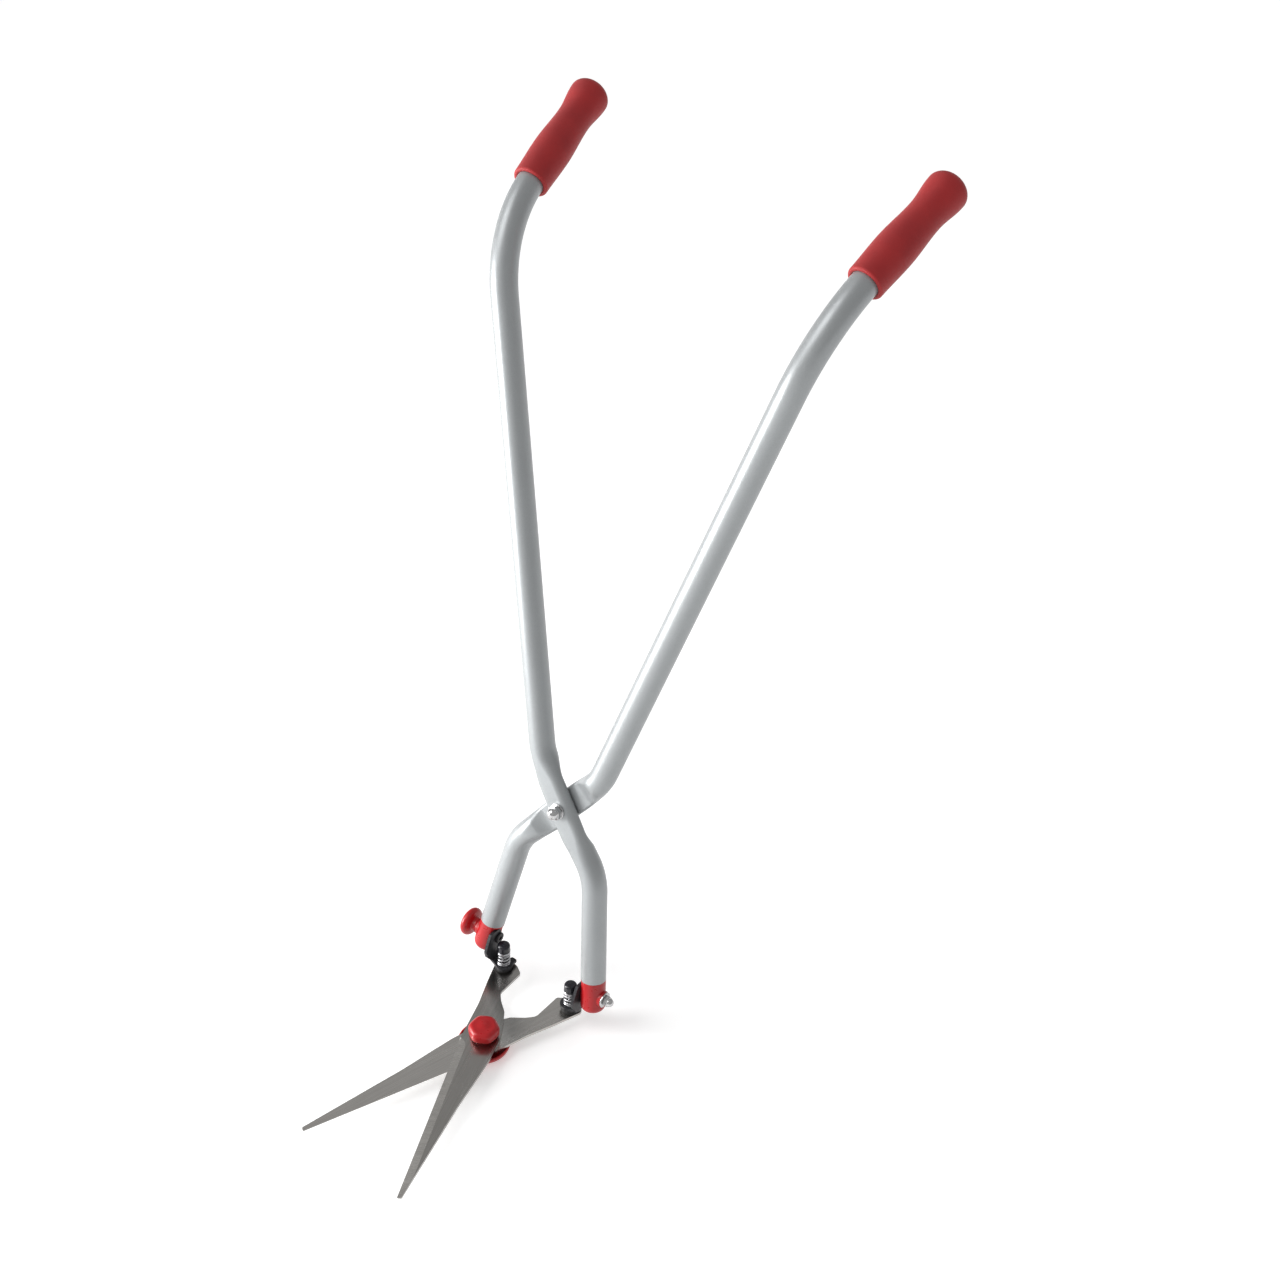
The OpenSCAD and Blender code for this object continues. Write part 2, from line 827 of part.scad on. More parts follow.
module right_pin_spring() {
    color(BRIGHT)
        pin_spring(RIGHT);
}

module left_pin_spring() {
    color(BRIGHT)
        pin_spring(LEFT);
}

module pin_washer(side) {
    pin_frame(side)
        translate([0, 0, spring_top])
            washer(cap_hollow_r - 0.1, pin_r + RUN_FIT, pin_washer_t);
}

module right_pin_washer() {
    color(BRIGHT)
        pin_washer(RIGHT);
}

module left_pin_washer() {
    color(BRIGHT)
        pin_washer(LEFT);
}

module pin_nut(side) {
    pin_frame(side)
        translate([0, 0, spring_top + pin_washer_t])
            difference() {
                hex(pin_nut_af, pin_nut_h);
                translate([0, 0, -1])
                    cylinder(h = pin_nut_h + 2, r = pin_r + RUN_FIT);
            }
}

module right_pin_nut() {
    color(BRIGHT)
        pin_nut(RIGHT);
}

module left_pin_nut() {
    color(BRIGHT)
        pin_nut(LEFT);
}

// Domed plastic cap pushed over the nut
module pin_cap(side) {
    r = spring_d / 2;
    round_r = 2.8;
    profile = concat(
        [[0, 0], [r, 0]],
        [for (i = [0 : 6]) [r - round_r + round_r * cos(15 * i),
            cap_h - 0.6 - round_r + round_r * sin(15 * i)]],
        [[0, cap_h]]);
    pin_frame(side)
        translate([0, 0, spring_top])
            difference() {
                rotate_extrude()
                    polygon(profile);
                translate([0, 0, -1])
                    cylinder(h = cap_hollow_h + 1, r = cap_hollow_r);
            }
}

module right_pin_cap() {
    color(BLACK)
        pin_cap(RIGHT);
}

module left_pin_cap() {
    color(BLACK)
        pin_cap(LEFT);
}

front_handle_tube();
rear_handle_tube();
front_grip();
rear_grip();
right_end_cap();
left_end_cap();
handle_pivot_bolt();
handle_pivot_washer();
handle_pivot_rear_washer();
handle_pivot_spacer();
handle_pivot_acorn_nut();
right_cross_bolt();
right_cross_washer();
right_acorn_nut();
left_cross_bolt();
angle_lock_knob();
lock_knob_nut();
right_bracket();
left_bracket();
upper_blade();
lower_blade();
blade_pivot_bolt();
blade_pivot_knob();
blade_spring_washer();
glide_disc();
glide_nut();
right_tang_pin();
left_tang_pin();
right_pin_spring();
left_pin_spring();
right_pin_washer();
left_pin_washer();
right_pin_nut();
left_pin_nut();
right_pin_cap();
left_pin_cap();
right_pin_ring();
left_pin_ring();
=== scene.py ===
"""Fine meshes, materials, light and camera for the stand-up garden shears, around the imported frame."""

import json
from math import acos, atan2, cos, hypot, pi, radians, sin, tan

import bmesh
import bpy
from mathutils import Matrix, Vector
from mathutils.geometry import delaunay_2d_cdt


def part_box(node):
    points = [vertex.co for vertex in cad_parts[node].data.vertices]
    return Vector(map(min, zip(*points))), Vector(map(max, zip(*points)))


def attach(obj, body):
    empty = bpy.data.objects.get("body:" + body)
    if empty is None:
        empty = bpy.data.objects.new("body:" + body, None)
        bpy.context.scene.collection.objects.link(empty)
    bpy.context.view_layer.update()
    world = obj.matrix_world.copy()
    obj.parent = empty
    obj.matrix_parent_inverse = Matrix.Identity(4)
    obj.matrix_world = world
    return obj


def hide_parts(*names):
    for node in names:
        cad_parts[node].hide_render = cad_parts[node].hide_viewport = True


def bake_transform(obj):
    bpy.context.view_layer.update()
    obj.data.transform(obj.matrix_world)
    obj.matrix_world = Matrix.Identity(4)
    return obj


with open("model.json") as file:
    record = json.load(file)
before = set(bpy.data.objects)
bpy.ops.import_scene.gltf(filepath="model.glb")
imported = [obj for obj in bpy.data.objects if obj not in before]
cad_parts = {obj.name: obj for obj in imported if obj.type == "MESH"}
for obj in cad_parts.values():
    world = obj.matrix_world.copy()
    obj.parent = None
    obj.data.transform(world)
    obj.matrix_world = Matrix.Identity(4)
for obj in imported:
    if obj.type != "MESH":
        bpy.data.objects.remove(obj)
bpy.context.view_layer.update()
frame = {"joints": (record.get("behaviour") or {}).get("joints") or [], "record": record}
MM = 0.001
RECORD = frame["record"]
JOINTS = {joint["name"]: joint for joint in frame["joints"]}
RIGHT, LEFT = 1, -1
FRONT, REAR = 1, -1

# ---------------------------------------------------------------------------
# Camera
# ---------------------------------------------------------------------------
CAMERA_AT = Vector((0.6833, -0.7892, 1.2196))
CAMERA_LOOK = Vector((-0.4569, 0.6821, -0.5710))
CAMERA_UP = Vector((-0.3685, 0.4392, 0.8194))
CAMERA_LENS = 44.17


def make_camera():
    data = bpy.data.cameras.new("camera")
    data.lens = CAMERA_LENS
    data.sensor_width = 36
    camera = bpy.data.objects.new("camera", data)
    bpy.context.scene.collection.objects.link(camera)
    back = -CAMERA_LOOK.normalized()
    right = CAMERA_UP.cross(back).normalized()
    up = back.cross(right)
    camera.matrix_world = Matrix.Translation(CAMERA_AT) @ Matrix((right, up, back)).transposed().to_4x4()
    bpy.context.scene.camera = camera


make_camera()

# ---------------------------------------------------------------------------
# Sizes, in millimetres. Places come from the frame.
# ---------------------------------------------------------------------------
TUBE_R = 12.5
TUBE_WALL = 1.5
PRESSED_W = 28
PRESSED_BACK_R = 8.5
PRESSED_FACE_R = 3
FLARE_START = 16
FLARE_LEN = 46
FLAT_REACH = 27
RAMP_LEN = 17
PRESS_LEN = 26
FLAT_GAP = 1
PIVOT_BEND_R = 60
GRIP_BEND_R = 120
# Corners of the right-hand tube's centreline in the handle plane: across, up, and forward of the pivot
TOP_BEND = Vector((-160.3, 511.2, 0))
UPPER_BEND = Vector((-34.5, 44.6, 0))
LOWER_BEND = Vector((46, -59.3, 0))
CAP_END = Vector((70.5, -208, 0))
GRIP_AIM = Vector((-19.8, 110.6, -140))
SEAM_DROP = 39.3
CAP_LEN = 35.2
GRIP_START = 56
GRIP_LEN = 123.5
GRIP_DOME = 12

BLADE_REACH = 195
BLADE_TURN = 17.7
BEVEL_W = 8
EDGE_LAND = 0.4
RUN_OUT = 14
HEEL = (-20.5, -10)
TIP = (-1.3, -BLADE_REACH)

BEND_INNER_R = 1.6
BORE_FIT = 0.05
GAP = 0.03  # between the flat faces of pieces that rest on each other
M8_R = 4
M6_R = 3
M8_BORE = M8_R + BORE_FIT
M6_BORE = M6_R + BORE_FIT
M8_HEX = 13  # across the flats
M6_HEX = 10


def low(node):
    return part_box(node)[0] / MM


def high(node):
    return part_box(node)[1] / MM


def middle(node):
    return (low(node) + high(node)) / 2


# ---------------------------------------------------------------------------
# Frames: 4x4 matrices in millimetres
# ---------------------------------------------------------------------------
def along(origin, direction, ref=(0, 0, 1)):
    """Frame at origin with +Z along direction and +X as near to ref as that allows."""
    z = Vector(direction).normalized()
    y = z.cross(Vector(ref)).normalized()
    x = y.cross(z)
    return Matrix.Translation(Vector(origin)) @ Matrix((x, y, z)).transposed().to_4x4()


def handle_frame():
    """Frame of the handle plane: +X across, +Y up the handles, +Z forward, origin at the pivot."""
    joint = JOINTS["handle_pivot"]
    forward = -Vector(joint["axis"])
    across = Vector((1, 0, 0))
    up = forward.cross(across)
    axes = Matrix((across, up, forward)).transposed().to_4x4()
    return Matrix.Translation(Vector(joint["pos_m"]) / MM) @ axes


HANDLE = handle_frame()
GRIP_DIR = GRIP_AIM.normalized()
LOW_DIR = (CAP_END - LOWER_BEND).normalized()
SEAM = CAP_END - LOW_DIR * SEAM_DROP
TUBE_STOP = GRIP_START + GRIP_LEN - 8
TILT = Vector(JOINTS["head_tilt"]["pos_m"]) / MM


def flipped(v, side):
    return Vector((v.x * side, v.y, v.z))


def grip_frame(side):
    start = flipped(TOP_BEND + GRIP_DIR * GRIP_START, side)
    return HANDLE @ along(start, flipped(GRIP_DIR, side))


def cap_frame(side):
    return HANDLE @ along(flipped(SEAM, side), flipped(LOW_DIR, side))


def cross_frame(side, x):
    """Frame on the bolt across an end cap, x out from the middle plane, +Z outwards."""
    return along((side * x, TILT.y, TILT.z), (side, 0, 0))


def lifted(x, y, z):
    return Matrix.Translation((x, y, z))


# ---------------------------------------------------------------------------
# Curves
# ---------------------------------------------------------------------------
def ease(t):
    """Smooth rise from 0 to 1."""
    return (1 - cos(pi * t)) / 2


def lerp(a, b, t):
    return a + (b - a) * t


def arc(x, y, rx, ry, start, stop, steps):
    """Points of an elliptical arc round (x, y) from one angle to another, in degrees."""
    angles = [radians(lerp(start, stop, i / steps)) for i in range(steps + 1)]
    return [(x + rx * cos(a), y + ry * sin(a)) for a in angles]


def crown(r, z, rise, steps):
    """Points (r, z) of a slightly raised end, from its rim to the axis. The rim's own point is left out."""
    return [(r * (1 - i / steps), z + rise * ease(i / steps)) for i in range(1, steps + 1)]


# ---------------------------------------------------------------------------
# Mesh tools
# ---------------------------------------------------------------------------
def new_object(name, mesh):
    piece = bpy.data.objects.new(name, mesh)
    bpy.context.scene.collection.objects.link(piece)
    return piece


def mesh_piece(name, points, faces, at=Matrix.Identity(4), sharp=35):
    """Object from points in millimetres: merged, with outward normals, smooth apart from sharp edges."""
    bm = bmesh.new()
    verts = [bm.verts.new((at @ Vector(p)) * MM) for p in points]
    for face in faces:
        bm.faces.new([verts[i] for i in face])
    bmesh.ops.remove_doubles(bm, verts=bm.verts, dist=2e-7)
    bmesh.ops.dissolve_degenerate(bm, edges=bm.edges, dist=1e-7)
    bmesh.ops.recalc_face_normals(bm, faces=bm.faces)
    mesh = bpy.data.meshes.new(name)
    bm.to_mesh(mesh)
    bm.free()
    piece = new_object(name, mesh)
    shade(piece, sharp)
    return piece


def shade(piece, sharp=35):
    mesh = piece.data
    mesh.polygons.foreach_set("use_smooth", [True] * len(mesh.polygons))
    mesh.set_sharp_from_angle(angle=radians(sharp))


def apply_modifiers(piece):
    bpy.context.view_layer.update()
    evaluated = piece.evaluated_get(bpy.context.evaluated_depsgraph_get())
    mesh = bpy.data.meshes.new_from_object(evaluated)
    piece.modifiers.clear()
    piece.data = mesh


def combine(piece, tool, operation):
    """Boolean of piece with tool, which is used up."""
    modifier = piece.modifiers.new("combine", "BOOLEAN")
    modifier.operation = operation
    modifier.solver = "EXACT"
    modifier.object = tool
    apply_modifiers(piece)
    bpy.data.objects.remove(tool)


def soften(piece, width, segments=2, angle=40):
    """Rounds the edges that are sharper than angle."""
    modifier = piece.modifiers.new("soften", "BEVEL")
    modifier.width = width * MM
    modifier.segments = segments
    modifier.limit_method = "ANGLE"
    modifier.angle_limit = radians(angle)
    modifier.harden_normals = True
    apply_modifiers(piece)


def grid_faces(rows, columns, close_rows):
    """Quads over rows of points, each row a closed loop of columns points."""
    faces = []
    for i in range(rows if close_rows else rows - 1):
        for j in range(columns):
            a, b = i * columns, (i + 1) % rows * columns
            k = (j + 1) % columns
            faces.append((a + j, a + k, b + k, b + j))
    return faces


def corner(a, b, c, r, steps):
    """Points of one rounded corner at b."""
    a, b, c = Vector(a), Vector(b), Vector(c)
    u, v = (a - b).normalized(), (c - b).normalized()
    half = acos(max(-1, min(1, u.dot(v)))) / 2
    if r == 0 or half > pi / 2 - 1e-4:
        return [b]
    centre = b + (u + v).normalized() * (r / sin(half))
    start, end = b + u * (r / tan(half)) - centre, b + v * (r / tan(half)) - centre
    span = pi - 2 * half
    return [centre + (start * sin(span * (1 - i / steps)) + end * sin(span * i / steps)) / sin(span)
            for i in range(steps + 1)]


def rounded(corners, closed, steps=6):
    """Polyline from corners (x, y, radius)."""
    count = len(corners)
    points = []
    for i, (x, y, r) in enumerate(corners):
        before, after = corners[i - 1], corners[(i + 1) % count]
        if not closed and i in (0, count - 1):
            r = 0
        points += corner(before[:2], (x, y), after[:2], r, steps)
    return points


def turned(name, column, at, closed=False, sides=96, sharp=35):
    """Revolved piece: column(angle) gives its points (r, z), from the axis to the axis unless closed."""
    columns = [[Vector((p[0], p[1])) for p in column(2 * pi * j / sides)] for j in range(sides)]
    rows = len(columns[0])
    points = []
    for i in range(rows):
        for j in range(sides):
            r, z = columns[j][i]
            a = 2 * pi * j / sides
            points.append((r * cos(a), r * sin(a), z))
    return mesh_piece(name, points, grid_faces(rows, sides, closed), at, sharp)


def lathe(name, corners, at, closed=False, sides=96, steps=6, sharp=35):
    """Round piece from profile corners (r, z, radius)."""
    profile = rounded(corners, closed, steps)
    return turned(name, lambda angle: profile, at, closed, sides, sharp)


def cylinder(name, r, z_low, z_high, at, sides=96):
    return lathe(name, [(0, z_low, 0), (r, z_low, 0), (r, z_high, 0), (0, z_high, 0)], at, sides=sides)


def hex_r(af, angle):
    """Distance to the side of a hexagon, across its flats af, in the direction angle."""
    return af / 2 / cos((angle + pi / 6) % (pi / 3) - pi / 6)


def soft_hex_r(af, angle, power=8):
    """The same with rounded corners."""
    total = sum(max(0, cos(angle - k * pi / 3)) ** power for k in range(6))
    return af / 2 * total ** (-1 / power)


def chamfer(af, angle):
    """How far a 30 degree chamfer reaches down the side of a hexagon in the direction angle."""
    return (hex_r(af, angle) - 0.47 * af) * tan(radians(30))


def slab(name, outline, holes, creases, lift, at=Matrix.Identity(4), edge=0.15, segments=2):
    """Plate from a plane outline with holes; lift(x, y, share) places a point of its lower or upper skin."""
    verts, edges = [], []
    for loop in [outline, *holes]:
        first = len(verts)
        verts += [Vector(p[:2]) for p in loop]
        edges += [(first + i, first + (i + 1) % len(loop)) for i in range(len(loop))]
    for line in creases:
        first = len(verts)
        verts += [Vector(p[:2]) for p in line]
        edges += [(first + i, first + i + 1) for i in range(len(line) - 1)]
    flat, _, triangles, *_ = delaunay_2d_cdt(verts, edges, [], 2, 1e-5)
    used = sorted({i for t in triangles for i in t})
    index = {v: i for i, v in enumerate(used)}
    triangles = [tuple(index[i] for i in t) for t in triangles]
    count = len(used)
    points = [lift(flat[i].x, flat[i].y, 0) for i in used] + [lift(flat[i].x, flat[i].y, 1) for i in used]
    sides = {}
    for t in triangles:
        for i in range(3):
            a, b = t[i], t[(i + 1) % 3]
            if (b, a) in sides:
                del sides[(b, a)]
            else:
                sides[(a, b)] = True
    faces = [t[::-1] for t in triangles] + [tuple(i + count for i in t) for t in triangles]
    faces += [(a, b, b + count, a + count) for a, b in sides]
    piece = mesh_piece(name, points, faces, at)
    soften(piece, edge, segments)
    return piece


def circle(x, y, r, count=48):
    return [(x + r * cos(2 * pi * i / count), y + r * sin(2 * pi * i / count)) for i in range(count)]


# ---------------------------------------------------------------------------
# Materials
# ---------------------------------------------------------------------------
class Shader:
    """A Principled material with helpers for procedural detail. Sizes of the detail are in millimetres."""

    def __init__(self, name, metallic, ior=1.45, coat=0.0, coat_roughness=0.1, sheen=0.0, specular=0.5):
        self.material = bpy.data.materials.new(name)
        self.material.use_nodes = True
        self.nodes = self.material.node_tree.nodes
        self.links = self.material.node_tree.links
        self.bsdf = self.nodes["Principled BSDF"]
        self.bsdf.inputs["Metallic"].default_value = metallic
        self.bsdf.inputs["IOR"].default_value = ior
        self.bsdf.inputs["Coat Weight"].default_value = coat
        self.bsdf.inputs["Coat Roughness"].default_value = coat_roughness
        self.bsdf.inputs["Sheen Weight"].default_value = sheen
        self.bsdf.inputs["Specular IOR Level"].default_value = specular
        self.place = self.nodes.new("ShaderNodeTexCoord").outputs["Object"]

    def noise(self, size, stretch=(1, 1, 1), turn=0.0, detail=3.0):
        """Noise from 0 to 1, size mm across times stretch, its axes turned about Z."""
        mapping = self.nodes.new("ShaderNodeMapping")
        mapping.vector_type = "TEXTURE"
        mapping.inputs["Scale"].default_value = [size * MM * s for s in stretch]
        mapping.inputs["Rotation"].default_value = (0, 0, radians(turn))
        texture = self.nodes.new("ShaderNodeTexNoise")
        texture.inputs["Scale"].default_value = 1
        texture.inputs["Detail"].default_value = detail
        self.links.new(self.place, mapping.inputs["Vector"])
        self.links.new(mapping.outputs["Vector"], texture.inputs["Vector"])
        return texture.outputs["Fac"]

    def spread(self, value, low_end, high_end, start=0.3, stop=0.7):
        """Value from start to stop carried to low_end to high_end."""
        node = self.nodes.new("ShaderNodeMapRange")
        node.inputs["From Min"].default_value = start
        node.inputs["From Max"].default_value = stop
        node.inputs["To Min"].default_value = low_end
        node.inputs["To Max"].default_value = high_end
        self.links.new(value, node.inputs["Value"])
        return node.outputs["Result"]

    def mix(self, factor, first, second):
        """Colour between first and second, each a colour or a socket."""
        node = self.nodes.new("ShaderNodeMix")
        node.data_type = "RGBA"
        self.links.new(factor, node.inputs[0])
        for colour, socket in ((first, node.inputs[6]), (second, node.inputs[7])):
            if isinstance(colour, bpy.types.NodeSocket):
                self.links.new(colour, socket)
            else:
                socket.default_value = (*colour, 1)
        return node.outputs[2]

    def edges(self, start=0.52, stop=0.6):
        """Share from 0 to 1 that rises on convex edges."""
        return self.spread(self.nodes.new("ShaderNodeNewGeometry").outputs["Pointiness"], 0, 1, start, stop)

    def times(self, first, second):
        node = self.nodes.new("ShaderNodeMath")
        node.operation = "MULTIPLY"
        self.links.new(first, node.inputs[0])
        self.links.new(second, node.inputs[1])
        return node.outputs[0]

    def bumps(self, *layers):
        """Bump from layers (height socket, depth in mm), one over the other."""
        normal = None
        for height, depth in layers:
            node = self.nodes.new("ShaderNodeBump")
            node.inputs["Strength"].default_value = 1
            node.inputs["Distance"].default_value = depth * MM
            self.links.new(height, node.inputs["Height"])
            if normal is not None:
                self.links.new(normal, node.inputs["Normal"])
            normal = node.outputs["Normal"]
        self.links.new(normal, self.bsdf.inputs["Normal"])

    def finish(self, colour, roughness):
        self.links.new(colour, self.bsdf.inputs["Base Color"])
        self.links.new(roughness, self.bsdf.inputs["Roughness"])
        return self.material


def silver_tube():
    s = Shader("silver_powder_coat", metallic=0.4, coat=0.1, coat_roughness=0.3)
    flakes = s.noise(0.35, detail=1)
    clouds = s.noise(45)
    colour = s.mix(s.spread(flakes, 0, 1), (0.29, 0.305, 0.312), (0.37, 0.385, 0.392))
    colour = s.mix(s.spread(clouds, 0, 0.12), colour, (0.26, 0.272, 0.28))
    s.bumps((s.noise(1.6, detail=2), 0.02), (flakes, 0.006))
    return s.finish(colour, s.spread(s.noise(9), 0.34, 0.42))


def red_grip():
    s = Shader("red_soft_grip", metallic=0, sheen=0.08, specular=0.35)
    grain = s.noise(0.5, detail=2)
    colour = s.mix(s.spread(s.noise(22), 0, 1), (0.30, 0.013, 0.015), (0.36, 0.018, 0.019))
    colour = s.mix(s.spread(grain, 0, 0.25), colour, (0.21, 0.010, 0.011))
    s.bumps((grain, 0.035), (s.noise(2.5), 0.03))
    return s.finish(colour, s.spread(s.noise(6), 0.52, 0.64))


def red_plastic():
    s = Shader("red_moulded_plastic", metallic=0, specular=0.5)
    colour = s.mix(s.spread(s.noise(14), 0, 1), (0.34, 0.005, 0.008), (0.39, 0.008, 0.011))
    colour = s.mix(s.times(s.edges(), s.spread(s.noise(3), 0, 0.5)), colour, (0.50, 0.03, 0.027))
    s.bumps((s.noise(1.1), 0.012), (s.noise(6), 0.03))
    return s.finish(colour, s.spread(s.noise(4), 0.26, 0.38))


def black_bracket():
    s = Shader("black_coated_steel", metallic=0.0, specular=0.3)
    colour = s.mix(s.spread(s.noise(8), 0, 1), (0.006, 0.006, 0.0075), (0.011, 0.011, 0.013))
    colour = s.mix(s.times(s.edges(), s.spread(s.noise(1.5), 0, 0.7)), colour, (0.06, 0.06, 0.065))
    s.bumps((s.noise(0.7), 0.02))
    return s.finish(colour, s.spread(s.noise(3), 0.28, 0.42))


# light scales every colour of this steel. This is painted shade and painted light: both blades are one steel,
# and the upper blade's copies are painted darker than the lower blade's.
def blade_steel(turn, name, light=1.0):
    s = Shader(name, metallic=1)
    streaks = s.noise(0.45, (1, 160, 3), turn, detail=4)
    broad = s.noise(5, (1, 26, 2), turn)
    clouds = s.noise(38)
    dark = [c * light for c in (0.47, 0.455, 0.43)]
    pale = [c * light for c in (0.64, 0.62, 0.595)]
    colour = s.mix(s.spread(streaks, 0, 1), dark, pale)
    colour = s.mix(s.spread(broad, 0, 0.35), colour, [c * light for c in (0.56, 0.545, 0.52)])
    colour = s.mix(s.spread(clouds, 0, 0.3), colour, [c * light for c in (0.43, 0.41, 0.385)])
    s.bumps((streaks, 0.006))
    return s.finish(colour, s.spread(broad, 0.2, 0.3))


def bright_steel():
    s = Shader("bright_plated_steel", metallic=1)
    colour = s.mix(s.spread(s.noise(2.2), 0, 1), (0.48, 0.48, 0.49), (0.62, 0.615, 0.61))
    s.bumps((s.noise(0.4), 0.003))
    return s.finish(colour, s.spread(s.noise(1.4), 0.12, 0.24))


def spring_steel():
    s = Shader("bright_spring_wire", metallic=1)
    colour = s.mix(s.spread(s.noise(1.2), 0, 1), (0.36, 0.36, 0.38), (0.52, 0.52, 0.53))
    s.bumps((s.noise(0.3, (1, 1, 4)), 0.003))
    return s.finish(colour, s.spread(s.noise(2), 0.18, 0.3))


def black_plastic():
    s = Shader("black_moulded_plastic", metallic=0, specular=0.5)
    colour = s.mix(s.spread(s.noise(5), 0, 1), (0.008, 0.008, 0.011), (0.014, 0.014, 0.020))
    s.bumps((s.noise(0.9), 0.012))
    return s.finish(colour, s.spread(s.noise(2.5), 0.18, 0.3))


def black_rubber():
    s = Shader("black_rubber", metallic=0, specular=0.3)
    colour = s.mix(s.spread(s.noise(3), 0, 1), (0.012, 0.012, 0.012), (0.022, 0.022, 0.022))
    s.bumps((s.noise(0.4), 0.03))
    return s.finish(colour, s.spread(s.noise(2), 0.55, 0.7))


MATERIALS = {
    "silver_tube": silver_tube(),
    "red_grip": red_grip(),
    "red_plastic": red_plastic(),
    "black_bracket": black_bracket(),
    # Painted shade: the upper blade's steel and bevel are scaled darker (0.7, 0.95) than the lower blade's
    # (0.95, 1.05), though both are one steel.
    "blade_steel": blade_steel(BLADE_TURN, "upper_blade_steel", 0.7),
    "bright_steel": bright_steel(),
    "spring_steel": spring_steel(),
    "black_plastic": black_plastic(),
    "black_rubber": black_rubber(),
}
LOWER_STEEL = blade_steel(-BLADE_TURN, "lower_blade_steel", 0.95)
UPPER_BEVEL = blade_steel(BLADE_TURN + 90 + 6, "upper_bevel_steel", 0.95)
LOWER_BEVEL = blade_steel(-BLADE_TURN + 90 - 6, "lower_bevel_steel", 1.05)

BODY_OF = {node: body for body, nodes in RECORD["behaviour"]["bodies"].items() for node in nodes}
SLOT_OF = {part["node"]: part["material_slot"] for part in RECORD["subparts"]}


def stand_for(piece, node, ride=True):
    """Gives piece the material of its node's slot, hides the CAD node, and unless ride is false puts the
    piece on that node's body.
    """
    if not piece.data.materials:
        piece.data.materials.append(MATERIALS[SLOT_OF[node]])
    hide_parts(node)
    if ride:
        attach(piece, BODY_OF[node])
    return piece


# ---------------------------------------------------------------------------
# Handle tubes
# ---------------------------------------------------------------------------
TUBE_SIDES = 72


def bend_rings(p, c, q, r, steps):
    """Rings (centre, direction) round the bend at corner c, from p towards q."""
    before, after = (c - p).normalized(), (q - c).normalized()
    turn = acos(before.dot(after))
    inward = (after - before * before.dot(after)).normalized()
    centre = c - before * (r * tan(turn / 2)) + inward * r
    rings = []
    for i in range(steps + 1):
        a = turn * i / steps
        at = centre + (before * sin(a) - inward * cos(a)) * r
        rings.append((at, before * cos(a) + inward * sin(a)))
    return rings


def straight_rings(start, end, steps):
    """Rings strictly between two rings, so that long runs are evenly divided."""
    a, b = start[0], end[0]
    return [(a.lerp(b, i / steps), (b - a).normalized()) for i in range(1, steps)]


def ramp_rings(direction, outwards, steps=14):
    """Rings from the flat to the bend on one side of the pivot, listed along the tube."""
    reaches = [FLAT_REACH + RAMP_LEN * i / steps for i in range(steps + 1)]
    if outwards:
        return [(direction * reach, direction) for reach in reaches]
    return [(direction * reach, -direction) for reach in reversed(reaches)]


def tube_rings():
    pivot = Vector((0, 0, 0))
    top = TOP_BEND + GRIP_DIR * TUBE_STOP
    lower = bend_rings(SEAM, LOWER_BEND, pivot, PIVOT_BEND_R, 20)
    upper = bend_rings(pivot, UPPER_BEND, TOP_BEND, PIVOT_BEND_R, 20)
    crown = bend_rings(UPPER_BEND, TOP_BEND, top, GRIP_BEND_R, 36)
    foot = (SEAM, -LOW_DIR)
    end = (top, GRIP_DIR)
    down, up = LOWER_BEND.normalized(), UPPER_BEND.normalized()
    flat = [(down * d, -down) for d in (24, 20, FLARE_START)] + [(up * d, up) for d in (FLARE_START, 20, 24)]
    return [foot, *straight_rings(foot, lower[0], 8), *lower, *ramp_rings(down, False), *flat,
            *ramp_rings(up, True), *upper, *straight_rings(upper[-1], crown[0], 24), *crown,
            *straight_rings(crown[-1], end, 8), end]


def ring_points(ring, depth, inset):
    """Outline of the tube at a ring: a circle that the press flattens on the side facing the other tube."""
    centre, direction = ring
    press = ease(max(0, min(1, (FLAT_REACH + PRESS_LEN - centre.length) / PRESS_LEN)))
    y = direction.cross(Vector((0, 0, 1))).normalized()
    x = y.cross(direction)
    half_width = lerp(PRESSED_W / 2, TUBE_R, ease(max(0, min(1, (centre.length - FLARE_START) / FLARE_LEN))))
    points = []
    for j in range(TUBE_SIDES):
        a = 2 * pi * (j + 0.5) / TUBE_SIDES
        if depth * cos(a) > 0:
            r = lerp(TUBE_R, PRESSED_BACK_R, press)
            mid = TUBE_R - r
        else:
            r = lerp(TUBE_R, PRESSED_FACE_R, press)
            mid = lerp(-TUBE_R, FLAT_GAP / 2, press) + r
        side = half_width - r if sin(a) > 0 else r - half_width
        points.append(centre + x * (depth * mid + (r - inset) * cos(a)) + y * (side + (r - inset) * sin(a)))
    return points


def handle_tube(name, side, depth):
    rings = tube_rings()
    skins = [ring_points(ring, depth, 0) for ring in rings]
    skins += [ring_points(ring, depth, TUBE_WALL) for ring in reversed(rings)]
    points = [flipped(p, side) for loop in skins for p in loop]
    piece = mesh_piece(name, points, grid_faces(len(skins), TUBE_SIDES, True), HANDLE, 50)
    combine(piece, cylinder("hole", M8_BORE, -30, 30, HANDLE), "DIFFERENCE")
    shade(piece, 50)
    return piece


stand_for(handle_tube("front_tube", RIGHT, FRONT), "front_handle_tube")
stand_for(handle_tube("rear_tube", LEFT, REAR), "rear_handle_tube")


# ---------------------------------------------------------------------------
# Grips
# ---------------------------------------------------------------------------
# Radius at shares of the grip's length
GRIP_SHAPE = ((0, 16.5), (0.32, 17.5), (0.66, 15.5), (0.9, 18.25), (1, 18.25))


def grip_r(t):
    """Radius at the share t of the grip's length."""
    for (a, ra), (b, rb) in zip(GRIP_SHAPE, GRIP_SHAPE[1:]):
        if t <= b:
            return ra + (rb - ra) * ease((t - a) / (b - a))
    return GRIP_SHAPE[-1][1]


